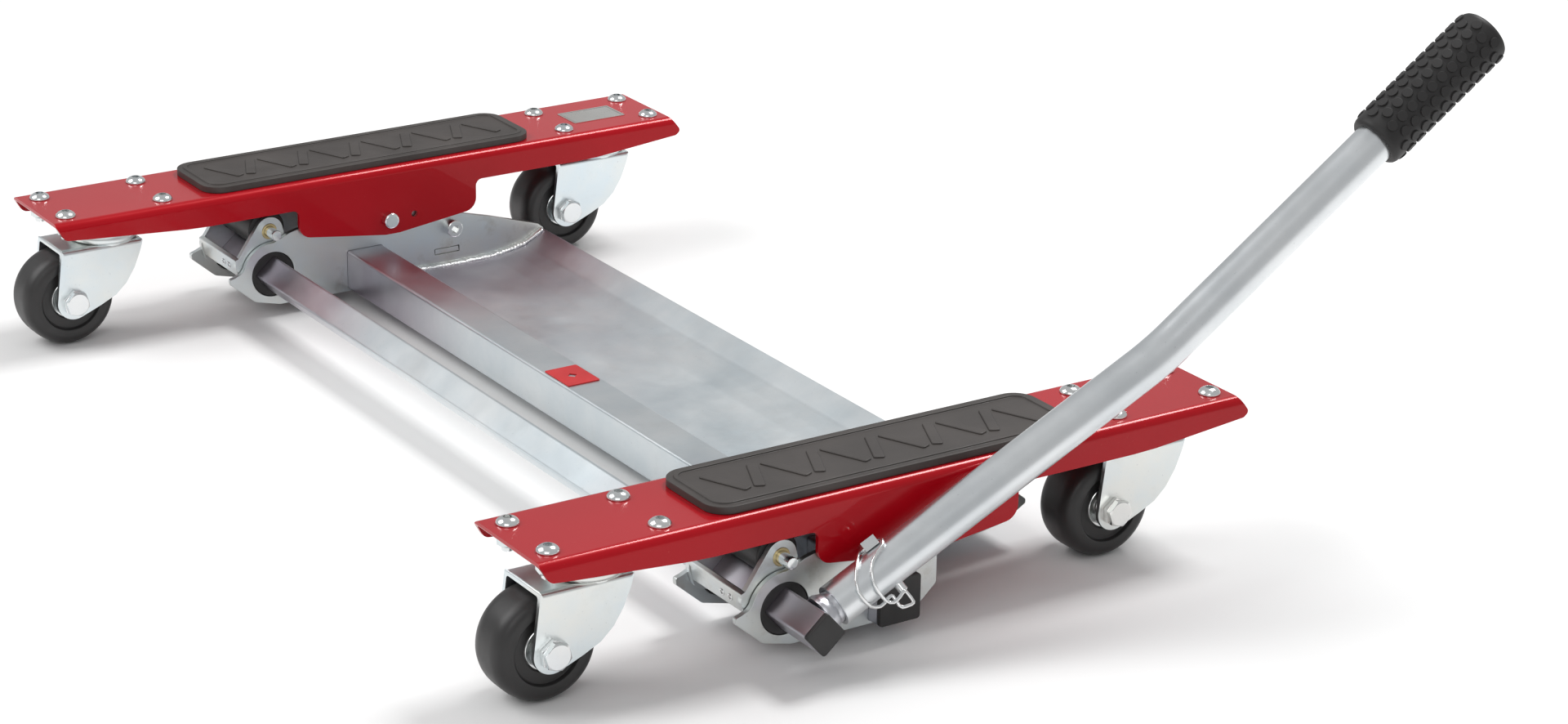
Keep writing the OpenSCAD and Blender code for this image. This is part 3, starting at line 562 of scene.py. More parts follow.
lobe = round_about(SHAFT_X, SHAFT_Z, 24.2, 88, 163, 14)
tooth = [(SHAFT_X - 25.4, SHAFT_Z + 4.5, 3), (SHAFT_X - 30.5, SHAFT_Z + 2.4, 4), (SHAFT_X - 34.6, SHAFT_Z + 1.2, 1.6),
         (SHAFT_X - 34.2, SHAFT_Z - 3, 1.6)]
foot = [(SHAFT_X - 15.4, SHAFT_Z - 19.3, 6), (SHAFT_X + 5, SHAFT_Z - 24.4, 5)]
crest = [(7 + 14, SHAFT_Z + 32, 3), (SHAFT_X + 30, SHAFT_Z + 32, 4), (SHAFT_X + 22, SHAFT_Z + 31.6, 4),
         (SHAFT_X + 14, SHAFT_Z + 29.6, 4), (SHAFT_X + 8, SHAFT_Z + 26.6, 4)]
inner_edge = [(SHAFT_X + 30, 8.5, 4), (12, 9, 3), (34, 11), (66, 11.8), (95, 12.4), (124, 16.8, 4), (141.5, 27, 1.5),
              (141.5, 30, 2), (136.5, 34, 3), (95, 47, 12), (71, 53.5, 8), (48, 59.8, 10)] + crest
outer_edge = [(SHAFT_X + 30, 8.5, 4), (4, 8.5, 3), (14, 16, 3), (23.5, 25, 2), (23.5, 49, 3)] + crest


def side_plate(name, edge, y0, y1, inner):
    """A side plate with its bush hole, tube window and hinge hole."""
    piece = plate(name, lobe + tooth + foot + edge, y0, y1, steps=4)
    mid, through = (y0 + y1) / 2, 12
    for x, z, radius in [(SHAFT_X, SHAFT_Z, 17.07), (7, TOP - 40, 6.07)] + ([(60.8, TOP - 56, 4.05)] if inner else []):
        drill = turned_piece("drill", [(0, -through), (radius, -through), (radius, through), (0, through)],
                             at(x, mid, z), (0, 1, 0), 64 if radius > 10 else 32)
        cut(piece, drill)
    windows = [(TUBE_X, TUBE_Z, 30.05, 30.05, 2.1)] + ([(57.5, TOP - 74.6, 21.2, 5.0, 0.8)] if inner else [])
    for x, z, w, h, r in windows:
        corners = [(x - w / 2, z - h / 2, r), (x + w / 2, z - h / 2, r), (x + w / 2, z + h / 2, r), (x - w / 2, z + h / 2, r)]
        cut(piece, plate("window", corners, mid - through, mid + through, steps=4))
    return soften(piece, 0.45, 2, angle=40)


FACE, SHEET_T = 36.0, 4.0
near_inner = side_plate("near_inner_side_plate", inner_edge, NEAR + FACE - SHEET_T, NEAR + FACE, True)
near_outer = side_plate("near_outer_side_plate", outer_edge, NEAR - FACE, NEAR - FACE + SHEET_T, False)
far_inner = copied(near_inner, "far_inner_side_plate", (0, SPACING - 2 * FACE + SHEET_T, 0))
far_outer = copied(near_outer, "far_outer_side_plate", (0, SPACING + 2 * FACE - SHEET_T, 0))
print("side plates", len(near_inner.data.polygons), len(near_outer.data.polygons))

# %% [markdown]
# ## Cross tube, caps and deck sheet
# The cross tube is a cube stretched to a square tube: its long edges are bevelled to the
# tube's corner radius and each end is inset and pushed in, so it is open inside. Plastic
# caps close it. The sheet between the plates is a shallow dish with a rising lip; its
# section is traced with its thickness and extruded across the deck.

# %% Cross tube and caps
def square_bar(name, size, radius, y0, y1, x, z, turn=0.0, wall=0.0, steps=4):
    """A square bar along y, turned about its own axis, bored from both ends when it has a wall."""
    half = size / 2
    bar_piece = box(name, (x - half, y0, z - half), (x + half, y1, z + half))
    take(bar_piece, "EDIT")
    pick(bar_piece, "EDGE", lambda middle, along: abs(along.y) > 0.9)
    bpy.ops.mesh.bevel(offset=radius * MM, segments=steps, affect="EDGES")
    if wall:
        for s in (-1, 1):
            pick(bar_piece, "FACE", lambda middle, normal: normal.y * s > 0.9)
            bpy.ops.mesh.inset(thickness=wall * MM)
            bpy.ops.mesh.extrude_region_move(TRANSFORM_OT_translate={"value": (0, -s * 30 * MM, 0)})
    if turn:
        bpy.ops.mesh.select_all(action="SELECT")
        bpy.ops.transform.rotate(value=math.radians(turn), orient_axis="Y",
                                 center_override=at(x, (y0 + y1) / 2, z))
    bpy.ops.object.mode_set(mode="OBJECT")
    return bar_piece


TUBE_END = -NEAR + 45
tube = soften(square_bar("square_cross_tube", 30, 2.2, -TUBE_END, TUBE_END, TUBE_X, TUBE_Z, wall=2.5, steps=5), 0.3, 2, angle=50)
caps = []
for s in (-1, 1):
    a, b = sorted((s * (TUBE_END + 0.02), s * (TUBE_END + 3.35)))
    lid = soften(square_bar("lid", 30, 2.4, a, b, TUBE_X, TUBE_Z, steps=5), 0.9, 3, angle=50)
    a, b = sorted((s * (TUBE_END + 0.02), s * (TUBE_END - 9)))
    caps += [lid, square_bar("plug", 24.6, 0.8, a, b, TUBE_X, TUBE_Z, steps=2)]
tube_caps = joined("cross_tube_caps", caps)
print("cross tube", len(tube.data.polygons), "caps", len(tube_caps.data.polygons))

# %% Deck sheet
sheet_top = [(3.6, 17.8), (34, 16.0), (66, 15.0), (94, 15.6, 30), (110, 17.6, 30), (123, 20.2, 14), (141, 29.8, 0.6)]
sheet_low = [(142.2, 27.6, 0.6), (124, 17.7, 14), (110.3, 15.1, 30), (94, 13.1, 30), (66, 12.5), (34, 13.5), (3.6, 15.3)]
SHEET_END = -NEAR - FACE - 0.02
deck = soften(plate("pressed_deck_sheet", sheet_top + sheet_low, -SHEET_END, SHEET_END, steps=6), 0.35, 2, angle=50, smooth=30)
marker = plate("marker", [(-12.5, -16.5, 1.2), (12.5, -16.5, 1.2), (12.5, 16.5, 1.2), (-12.5, 16.5, 1.2)], 0, 0.8, steps=4)
take(marker, "EDIT")
bpy.ops.mesh.select_all(action="SELECT")
bpy.ops.transform.rotate(value=math.pi / 2, orient_axis="X", center_override=at(0, 0, 0))
bpy.ops.object.mode_set(mode="OBJECT")
span = [v.co.z for v in marker.data.vertices]
marker.location = at(-12.4, 0, 40.52) - at(0, 0, 0) - Vector((0, 0, min(span)))
settle(marker, "red_marker_plate")
ys = [v.co.y for v in marker.data.vertices]
marker.location = (0, at(0, 0, 0).y - (min(ys) + max(ys)) / 2, 0)
settle(marker, "red_marker_plate")
diamond = [(-12.4, -3.6), (-8.8, 0), (-12.4, 3.6), (-16.0, 0)]
peep = trace([at(x, y, 38) for x, y in diamond])
bpy.ops.mesh.extrude_region_move(TRANSFORM_OT_translate={"value": (0, 0, 6 * MM)})
bpy.ops.mesh.select_all(action="SELECT")
bpy.ops.mesh.normals_make_consistent(inside=False)
cut(marker, settle(peep, "peep"))
soften(marker, 0.2, 2, angle=50)
print("deck sheet", len(deck.data.polygons), "marker", len(marker.data.polygons))

# %% [markdown]
# ## The welds
# Each end of the sheet is welded to its plate by hand. A weld is a row of overlapping drops,
# so one flattened ball is copied along the seam, each copy a little different in size, and
# a voxel remesh melts the row into one lumpy bead. The sizes come from a seeded generator.

# %% Welds
import random
drops = random.Random(7)
seam_line = [(31, 15.4), (50, 14.6), (70, 14.4), (94, 15.2), (110, 17.4), (123, 20.4), (139.4, 28.9)]


def along_line(line, step):
    """Points every few mm along a line of corners, with the slope there."""
    out, spare = [], 0.0
    for (x0, z0), (x1, z1) in zip(line, line[1:]):
        length = math.hypot(x1 - x0, z1 - z0)
        t = spare
        while t < length:
            out.append((x0 + (x1 - x0) * t / length, z0 + (z1 - z0) * t / length, math.atan2(z1 - z0, x1 - x0)))
            t += step
        spare = t - length
    return out


beads = []
for s in (-1, 1):
    drops_here = []
    for x, z, slope in along_line(seam_line, 2.6):
        bpy.ops.object.select_all(action="DESELECT")
        bpy.ops.mesh.primitive_uv_sphere_add(
            segments=12, ring_count=8, radius=1, rotation=(0, -slope + drops.uniform(-0.3, 0.3), 0),
            location=at(x + drops.uniform(-0.3, 0.3), s * (SHEET_END - 1.3), z + 1.0),
            scale=(drops.uniform(2.1, 2.9) * MM, drops.uniform(3.4, 4.1) * MM, drops.uniform(1.5, 2.1) * MM))
        drops_here.append(settle(bpy.context.active_object, "drop"))
    bead = joined("bead", drops_here)
    apply_modifier(bead, "REMESH", mode="VOXEL", voxel_size=0.55 * MM)
    keep = box("keep", (20, min(s * SHEET_END, s * (SHEET_END - 8)), 0), (160, max(s * SHEET_END, s * (SHEET_END - 8)), 60))
    cut(bead, keep, "INTERSECT")
    take(bead)
    bpy.ops.object.shade_smooth()
    beads.append(bead)
welds = joined("deck_weld_beads", beads)
print("welds", len(welds.data.polygons), "faces")

# %% Socket screws, their nuts and the slot tongues
cap_profile = [(0, 0), (6.5, 0), (6.5, 7.1), (6.3, 7.6), (5.8, 7.95), (0, 8)]
socket_screws, socket_nuts, tongues = [], [], []
for s in (-1, 1):
    seat = at(60.8, s * (SHEET_END), TOP - 56)
    head_piece = turned_piece("cap_head", cap_profile, seat, (0, -s, 0), 40)
    cut(head_piece, hexagon_bar("key", 6.0, 6, seat + Vector((0, -s * 3.6 * MM, 0)), (0, -s, 0), 0.3))
    soften(head_piece, 0.2, 2, angle=48, smooth=30)
    stem = turned_piece("stem", [(0, -14), (3.9, -14), (3.9, 0.5), (0, 0.5)], seat, (0, -s, 0), 24)
    socket_screws += [head_piece, soften(stem, 0.2)]
    socket_nuts.append(soften(hexagon_bar("nut", 13, 6.4, seat + Vector((0, s * (SHEET_T + 0.06) * MM, 0)), (0, s, 0), 0.5), 0.5))
    y_in, y_mid, y_out = s * (-NEAR - FACE + 0.3), s * (-NEAR - FACE + SHEET_T + 0.04), s * (-NEAR - 16)
    tongue = box("tongue", (47.5, min(y_in, y_out), 24.6), (67.5, max(y_in, y_out), 28.2))
    shelf = box("shelf", (40.5, min(y_mid, y_out), 24.5), (74.5, max(y_mid, y_out), 28.3))
    tongues += [soften(tongue, 0.3), soften(shelf, 0.4)]
plate_screws = joined("deck_socket_screws", socket_screws)
plate_nuts = joined("deck_screw_nuts", socket_nuts)
plate_tabs = joined("stop_bracket_tongues", tongues)
print("socket screws", len(plate_screws.data.polygons))

# %% [markdown]
# ## The cranked shaft
# The lever's shaft is a square tube set on its corner. It turns in round plastic bushes, and
# at each beam two ears joined by a web carry the crank pin and its roller. The ear is a hull
# round the pin and the shaft, so its outline is traced along arcs and straight runs.

# %% Shaft, bushes and caps
TURN, SHAFT_Y0, SHAFT_Y1 = 41.0, -423.1, -NEAR + 43.5
shaft = soften(square_bar("square_shaft", 20, 1.8, SHAFT_Y0, SHAFT_Y1, SHAFT_X, SHAFT_Z, turn=TURN, wall=2.5, steps=5),
               0.25, 2, angle=50)
bush_list, cap_list = [], []
for s in (-1, 1):
    for t in (-1, 1):
        a, b = sorted((s * -NEAR + t * (FACE - SHEET_T + 0.2), s * -NEAR + t * (FACE - 0.3)))
        bush = [(0, a), (16.2, a), (17, a + 0.7), (17, b - 0.7), (16.2, b), (0, b)]
        disc = turned_piece("disc", bush, at(SHAFT_X, 0, SHAFT_Z), (0, 1, 0), 72)
        way = square_bar("way", 20.06, 1.6, a - 3, b + 3, SHAFT_X, SHAFT_Z, turn=TURN)
        bush_list.append(soften(cut(disc, way), 0.2, 2, angle=50))
for s, face in ((-1, SHAFT_Y0), (1, SHAFT_Y1)):
    a, b = sorted((face + s * 0.02, face + s * 3.35))
    lid = soften(square_bar("lid", 20, 2.0, a, b, SHAFT_X, SHAFT_Z, turn=TURN), 0.7, 3, angle=50)
    a, b = sorted((face + s * 0.02, face - s * 8))
    cap_list += [lid, square_bar("plug", 14.7, 0.6, a, b, SHAFT_X, SHAFT_Z, turn=TURN, steps=2)]
bushes = joined("shaft_bush_discs", bush_list)
shaft_caps = joined("shaft_end_caps", cap_list)
print("shaft", len(shaft.data.polygons), "bushes", len(bushes.data.polygons))

# %% Yokes
CRANK = 32.0


def hull_outline(circles):
    """The outline that a string makes when pulled tight round circles (x, z, radius)."""
    points = [(x + r * math.cos(math.radians(a)), z + r * math.sin(math.radians(a)))
              for x, z, r in circles for a in range(0, 360, 5)]
    points.sort()

    def chain(ordered):
        line = []
        for p in ordered:
            while len(line) > 1 and ((line[-1][0] - line[-2][0]) * (p[1] - line[-2][1])
                                     - (line[-1][1] - line[-2][1]) * (p[0] - line[-2][0])) <= 1e-9:
                line.pop()
            line.append(p)
        return line[:-1]
    return chain(points) + chain(points[::-1])


ear_edge = hull_outline([(SHAFT_X, SHAFT_Z + CRANK, 10.8), (SHAFT_X - 22, SHAFT_Z + 9, 6),
                         (SHAFT_X - 19, SHAFT_Z, 6), (SHAFT_X + 2, SHAFT_Z + 2, 16)])
EAR_Y = FACE - SHEET_T - 0.5
ears = []
for t in (-1, 1):
    a, b = sorted((NEAR + t * EAR_Y, NEAR + t * (EAR_Y - 4)))
    ear = plate("ear", ear_edge, a, b)
    cut(ear, turned_piece("drill", [(0, -50), (6.02, -50), (6.02, 50), (0, 50)], at(SHAFT_X, NEAR, SHAFT_Z + CRANK), (0, 1, 0), 48))
    cut(ear, square_bar("way", 20.06, 1.6, a - 3, b + 3, SHAFT_X, SHAFT_Z, turn=TURN))
    ears.append(soften(ear, 0.55, 3, angle=40))
web_edge = [(SHAFT_X - 28.3, SHAFT_Z + 13.6, 1), (SHAFT_X - 24.6, SHAFT_Z + 15.2, 1), (SHAFT_X - 21, SHAFT_Z + 1, 1),
            (SHAFT_X - 25, SHAFT_Z, 1)]
web = soften(plate("web", web_edge, NEAR - EAR_Y + 0.1, NEAR + EAR_Y - 0.1, steps=4), 0.4, 2, angle=50)
near_yoke = joined("near_crank_yoke", ears + [web])
screw_list = []
for o in (-17, -8):
    seat = at(SHAFT_X - 24.6, NEAR + o, SHAFT_Z + 7)
    lean = Vector((math.sin(math.radians(76)), 0, math.cos(math.radians(76))))
    grub = turned_piece("grub", [(0, -2.6), (2.1, -2.6), (2.5, -2.2), (2.5, 4.8), (0, 4.8)], seat, lean, 24)
    cut(grub, hexagon_bar("key", 2.5, 3, seat - lean * 3.4 * MM, lean))
    screw_list.append(soften(grub, 0.12, 1, angle=50))
grubs = joined("yoke_grub_screws", screw_list)
grubs = joined("yoke_grub_screws", [grubs, copied(grubs, "g", (0, SPACING, 0))])
pin_edge = [(0, -44), (3.2, -44), (3.75, -43.8), (4, -43.3), (4, 43.3), (3.75, 43.8), (3.2, 44), (0, 44)]
crank_pin = soften(turned_piece("crank_pins_round", pin_edge, at(SHAFT_X, NEAR, SHAFT_Z + CRANK), (0, 1, 0), 40), 0)
crank_pin = joined("crank_pins_round", [crank_pin, copied(crank_pin, "p", (0, SPACING, 0))])
bush_edge = [(4.04, 0), (6, 0), (6, 4.2), (5.8, 4.45), (4.3, 4.45), (4.04, 4.2), (4.04, 0)]
brass = []
for t in (-1, 1):
    brass.append(soften(turned_piece("brass", bush_edge, at(SHAFT_X, NEAR + t * (EAR_Y - 4.1), SHAFT_Z + CRANK), (0, t, 0), 40), 0))
brass = joined("brass_pin_bushes", brass)
brass = joined("brass_pin_bushes", [brass, copied(brass, "b", (0, SPACING, 0))])
ROLL = EAR_Y - 4.4
roller_edge = [(4.08, -ROLL), (13.4, -ROLL), (14.2, 0.6 - ROLL), (14.5, 1.3 - ROLL), (14.5, ROLL - 1.3), (14.2, ROLL - 0.6),
               (13.4, ROLL), (4.08, ROLL), (4.08, -ROLL)]
roller = soften(turned_piece("near_crank_roller", roller_edge, at(SHAFT_X, NEAR, SHAFT_Z + CRANK), (0, 1, 0), 72), 0)
print("yoke", len(near_yoke.data.polygons), "roller", len(roller.data.polygons))

# %% [markdown]
# ## The handle
# The handle slides over a round stub welded to the shaft. The tube starts as an open circle:
# it is extruded along the lower run, spun round the centre of the bend and extruded along
# the upper run, and Solidify gives it a wall. The lock pin crosses both, and a wire bail
# snaps round the tube to hold it.

# %% Handle directions
HANDLE_Y, SLOPE, SLOPE2 = -408.0, 25.4, 34.0
START, BEND, UPPER, GRIP_L, BEND_R = 19.0, 282.0, 197.0, 106.0, 190.0
lever = Matrix.Translation(at(SHAFT_X, HANDLE_Y, SHAFT_Z)) @ Matrix.Rotation(-math.radians(SLOPE), 4, "Y")
upper = lever @ Matrix.Translation((BEND * MM, 0, 0)) @ Matrix.Rotation(-math.radians(SLOPE2 - SLOPE), 4, "Y")
lock = lever @ Matrix.Translation((59 * MM, 0, 0)) @ Matrix.Rotation(-math.radians(40.6), 4, "X")
TANGENT = BEND_R * math.tan(math.radians(SLOPE2 - SLOPE) / 2)


def spot(frame_at, x, y, z):
    return frame_at @ (Vector((x, y, z)) * MM)


along_lower = lever.to_3x3() @ Vector((1, 0, 0))
along_upper = upper.to_3x3() @ Vector((1, 0, 0))
print("bend tangent", round(TANGENT, 2), "mm")

# %% Handle tube
bpy.ops.object.select_all(action="DESELECT")
bpy.ops.mesh.primitive_circle_add(vertices=56, radius=13.45 * MM, location=spot(lever, START, 0, 0),
                                  rotation=along_lower.to_track_quat("Z", "Y").to_euler())
handle = bpy.context.active_object
take(handle, "EDIT")
bpy.ops.mesh.select_all(action="SELECT")
bpy.ops.mesh.extrude_edges_move(TRANSFORM_OT_translate={"value": along_lower * (BEND - TANGENT - START) * MM})
bpy.ops.mesh.spin(steps=10, angle=math.radians(SLOPE2 - SLOPE), center=spot(lever, BEND - TANGENT, 0, BEND_R), axis=(0, 1, 0))
bpy.ops.mesh.extrude_edges_move(TRANSFORM_OT_translate={"value": along_upper * (UPPER + GRIP_L - 6.5 - TANGENT) * MM})
bpy.ops.mesh.select_all(action="SELECT")
bpy.ops.mesh.remove_doubles(threshold=1e-6)
bpy.ops.mesh.normals_make_consistent(inside=False)
settle(handle, "bent_handle_tube")
side_face = handle.data.polygons[0]
foot_point = lever.translation + along_lower * (side_face.center - lever.translation).dot(along_lower)
outward = (side_face.center - foot_point).dot(side_face.normal) > 0
if not outward:
    take(handle, "EDIT")
    bpy.ops.mesh.select_all(action="SELECT")
    bpy.ops.mesh.flip_normals()
    bpy.ops.object.mode_set(mode="OBJECT")
apply_modifier(handle, "SOLIDIFY", thickness=2.3 * MM, offset=-1)
for s in (-1, 1):
    cut(handle, turned_piece("drill", [(0, 4), (3.05, 4), (3.05, 20), (0, 20)], lock.translation, lock.to_3x3() @ Vector((0, 0, s)), 24))
soften(handle, 0.4, 2, angle=50, smooth=30)
print("handle tube", len(handle.data.polygons), "faces, normals out", outward)

# %% Handle stub and its weld collar
stub = turned_piece("handle_stub_bar", [(0, 9), (10.75, 9), (10.75, 85), (10, 86), (0, 86)], lever.translation, along_lower, 48)
collar = turned_piece("collar", [(0, 9), (12.6, 9), (13.0, 10.6), (12.7, 12.2), (11.8, 14), (11.0, 15.6), (10.6, 16.8), (0, 16.8)],
                      lever.translation, along_lower, 48)
take(collar, "EDIT")
bpy.ops.mesh.select_all(action="SELECT")
bpy.ops.transform.vertex_random(offset=0.35 * MM, seed=4)
bpy.ops.object.mode_set(mode="OBJECT")
soften(collar, 0)
stub_parts = []
for part, keep_gap in ((stub, 0.02), (collar, 0.02)):
    cut(part, square_bar("way", 20 + 2 * keep_gap, 1.6, HANDLE_Y - 30, HANDLE_Y + 30, SHAFT_X, SHAFT_Z, turn=TURN))
    stub_parts.append(soften(part, 0, smooth=40))
stub = joined("handle_stub_bar", stub_parts)
cut(stub, turned_piece("drill", [(0, -20), (3.05, -20), (3.05, 20), (0, 20)], lock.translation, lock.to_3x3() @ Vector((0, 0, 1)), 24))
print("stub", len(stub.data.polygons), "faces")

# %% Grip
GRIP_R = 18.2
sleeve = [(13.5, 0), (15.2, 0), (16.6, 0.5), (17.5, 1.5), (18.05, 3), (GRIP_R, 5), (GRIP_R, GRIP_L - 4.4), (18.0, GRIP_L - 2.8),
          (17.3, GRIP_L - 1.6), (16.2, GRIP_L - 0.65), (15.0, GRIP_L), (0, GRIP_L), (0, GRIP_L - 5.9), (13.5, GRIP_L - 5.9), (13.5, 0)]
sleeve_piece = turned_piece("sleeve", sleeve, spot(upper, UPPER, 0, 0), along_upper, 72)
soften(sleeve_piece, 0, smooth=35)
COLUMNS, PITCH = 14, 9.3
studs = []
bpy.ops.object.select_all(action="DESELECT")
bpy.ops.mesh.primitive_cylinder_add(vertices=16, radius=3.5 * MM, depth=2.2 * MM, location=spot(upper, UPPER + 12, 0, GRIP_R - 0.1))
stud = settle(bpy.context.active_object, "stud")
take(stud, "EDIT")
pick(stud, "FACE", lambda middle, normal: normal.z > 0.9)
bpy.ops.mesh.bevel(offset=0.45 * MM, segments=2, affect="EDGES")
bpy.ops.object.mode_set(mode="OBJECT")
home = Matrix.Translation(spot(upper, UPPER + 12, 0, GRIP_R - 0.1))
for column in range(COLUMNS):
    for row in range(10):
        along = 9.6 + PITCH * (row + (0.5 if column % 2 else 0))
        if along > GRIP_L - 7:
            continue
        take(stud)
        bpy.ops.object.duplicate(linked=False)
        twin = bpy.context.active_object
        place = (upper @ Matrix.Translation(Vector((UPPER + along, 0, 0)) * MM)
                 @ Matrix.Rotation(2 * math.pi * column / COLUMNS, 4, "X") @ Matrix.Translation(Vector((0, 0, GRIP_R - 0.1)) * MM))
        twin.matrix_world = place @ home.inverted() @ twin.matrix_world
        studs.append(settle(twin, "stud"))
bpy.data.objects.remove(stud)
studs = joined("studs", studs)
soften(studs, 0, smooth=40)
grip = joined("studded_grip", [sleeve_piece, studs])
print("grip", len(grip.data.polygons), "faces")

# %% Lock pin and wire bail
up_pin = lock.to_3x3() @ Vector((0, 0, 1))
pin_bar = turned_piece("lock_pin_round", [(0, -19), (1.8, -19), (2.6, -18.7), (3, -18.1), (3, 15), (0, 15)], lock.translation, up_pin, 32)
soften(pin_bar, 0)
bpy.ops.object.select_all(action="DESELECT")
bpy.ops.mesh.primitive_cube_add(size=1, location=spot(lock, 0, 0, 16.2), rotation=lock.to_euler(), scale=(10 * MM, 11 * MM, 6.4 * MM))
pin_block = bpy.context.active_object
take(pin_block, "EDIT")
local_up = Vector((0, 0, 1))
bpy.ops.mesh.select_all(action="DESELECT")
pick(pin_block, "EDGE", lambda middle, along: middle.z > 0.4 and abs(along.y) > 0.9)
bpy.ops.mesh.bevel(offset=1.9 * MM, segments=1, affect="EDGES")
bpy.ops.object.mode_set(mode="OBJECT")
settle(pin_block, "block")
tube_axis = lever.to_3x3() @ Vector((1, 0, 0))
cut(pin_block, turned_piece("saddle", [(0, -40), (13.5, -40), (13.5, 40), (0, 40)], lock.translation, tube_axis, 72))
cut(pin_block, turned_piece("bore", [(0, -40), (1.2, -40), (1.2, 40), (0, 40)], spot(lock, 0, 0, 15.3), tube_axis, 24))
stake = turned_piece("stake", [(0, 19.9), (1.5, 19.9), (2.1, 19.6), (2.1, 19.0), (0, 19.0)], lock.translation, up_pin, 20)
soften(pin_block, 0.35, 2, angle=40)
lock_piece = joined("lock_pin_round", [pin_bar, pin_block, soften(stake, 0)])
wire_line = [(3.2, 0, 15.3), (5.9, 0, 15.3), (6.8, -0.9, 15.3), (6.9, -6, 14.4), (6.4, -8.7, 13), (3.6, -11.6, 10.6), (-2.3, -13.2, 8.9),
             (-8.5, -14.5, 6), (-12.4, -15.4, 2.6), (-14.9, -15.5, -1.2), (-16.4, -14.6, -5.6), (-16.6, -12, -10), (-15.4, -8, -13.7),
             (-14, -4.8, -16.6), (-12.7, -4.9, -19), (-10.8, -5, -20.4), (-8.4, -5, -20.4), (-6.0, -4.9, -20.0), (-2.8, -4.7, -19),
             (-1.4, -4.6, -18.9), (-0.5, -4.4, -19.4), (0, -3.1, -24.2), (-0.1, -2.3, -26.9), (-0.7, -2.2, -27.5), (-2.2, -2.2, -27.5),
             (-6.2, -2.5, -26.4), (-7.8, -2.6, -25.6), (-8.7, -2.8, -23.6), (-8.2, -2.3, -20.4), (-8.1, -2, -17.0), (-8.5, -2, -16.2),
             (-9.4, -2, -16), (-11.4, -2, -16.2), (-14.7, -2, -17.2), (-18, -2, -17.3), (-21.4, -3.6, -16), (-24.6, -7.6, -13.8),
             (-26.6, -11.8, -10.6), (-27.3, -14.6, -6.4), (-26.8, -15.6, -1.8), (-24.4, -15.4, 2.8), (-20.6, -14, 6.9), (-15.6, -10.8, 11.3),
             (-9.9, -4.9, 14.9), (-7.6, -1.4, 15.3), (-6.6, 0, 15.3), (-3.2, 0, 15.3)]
wire = trace([spot(lock, *p) for p in wire_line], closed=False)
bpy.ops.object.mode_set(mode="OBJECT")
settle(wire, "wire_bail")
bpy.ops.object.convert(target="CURVE")
wire.data.bevel_depth = 1.1 * MM
wire.data.bevel_resolution = 4
wire.data.use_fill_caps = True
bpy.ops.object.convert(target="MESH")
wire = bpy.context.active_object
wire.name = "wire_bail"
soften(wire, 0, smooth=60)
print("lock pin", len(lock_piece.data.polygons), "wire", len(wire.data.polygons))

# %% [markdown]
# ## Copies for the far side
# Both beams are built alike, and so are the four castors, so every other one is a copy with
# its own mesh, moved by the beam spacing or by the castor spacing.

# %% Copies
near_set = {"red_channel": near_channel, "foot_pad": near_pad, "cap_screws": near_screws, "nylon_nuts": near_nuts,
            "mounting_plates": near_mounts, "wear_block": near_block, "hinge_pin": near_pin}
far_set = {word: copied(piece, "far_" + word, (0, SPACING, 0)) for word, piece in near_set.items()}
far_yoke = copied(near_yoke, "far_crank_yoke", (0, SPACING, 0))
far_roller = copied(roller, "far_crank_roller", (0, SPACING, 0))
corner_places = {"nl": (0, 0), "nr": (2 * CASTOR_X, 0), "fl": (0, SPACING), "fr": (2 * CASTOR_X, SPACING)}
castor_set = {}
for corner, (dx, dy) in corner_places.items():
    for word, piece in (("pressed_fork", fork), ("hex_axle_bolt", axle_bolt), ("castor_wheel", wheel), ("bearing_pair", bearings)):
        name = corner + "_" + word
        castor_set[name] = piece if corner == "nl" else copied(piece, name, (dx, dy, 0))
badge = box("far_blank_nameplate", (182.1, -NEAR - 14.6, TOP + 0.02), (227.1, -NEAR + 13.4, TOP + 0.52))
take(badge, "EDIT")
pick(badge, "EDGE", lambda middle, along: abs(along.z) > 0.9)
bpy.ops.mesh.bevel(offset=1.2 * MM, segments=4, affect="EDGES")
pick(badge, "FACE", lambda middle, normal: normal.z > 0.9)
bpy.ops.mesh.inset(thickness=1.3 * MM)
bpy.ops.mesh.inset(thickness=0.3 * MM)
bpy.ops.transform.translate(value=(0, 0, -0.15 * MM))
bpy.ops.object.mode_set(mode="OBJECT")
soften(badge, 0.1, 2, angle=50)
print("castor pieces", len(castor_set))

# %% [markdown]
# ## Finishes
# The finishes are node materials on object coordinates, so they sit still on the piece. Each
# starts from a few noise textures at the real scale: orange peel on powder coat, clouds and
# fine scratches on zinc, a dull grain on rubber.

# %% Node helpers
def start_finish(name):
    """A new material with its shader and the object coordinates ready to wire."""
    material = bpy.data.materials.new(name)
    material.use_nodes = True
    tree = material.node_tree
    shader = tree.nodes["Principled BSDF"]
    coords = tree.nodes.new("ShaderNodeTexCoord").outputs["Object"]
    return material, tree, shader, coords


def noise(tree, coords, scale, detail=3.0, stretch=(1, 1, 1), rough=0.5, turn=(0, 0, 0)):
    """A noise texture; the scale counts lumps per metre, stretched along the axes."""
    mapping = tree.nodes.new("ShaderNodeMapping")
    mapping.inputs["Scale"].default_value = stretch
    mapping.inputs["Rotation"].default_value = turn
    tree.links.new(coords, mapping.inputs["Vector"])
    texture = tree.nodes.new("ShaderNodeTexNoise")
    texture.inputs["Scale"].default_value = scale
    texture.inputs["Detail"].default_value = detail
    texture.inputs["Roughness"].default_value = rough
    tree.links.new(mapping.outputs["Vector"], texture.inputs["Vector"])
    return texture.outputs["Fac"]


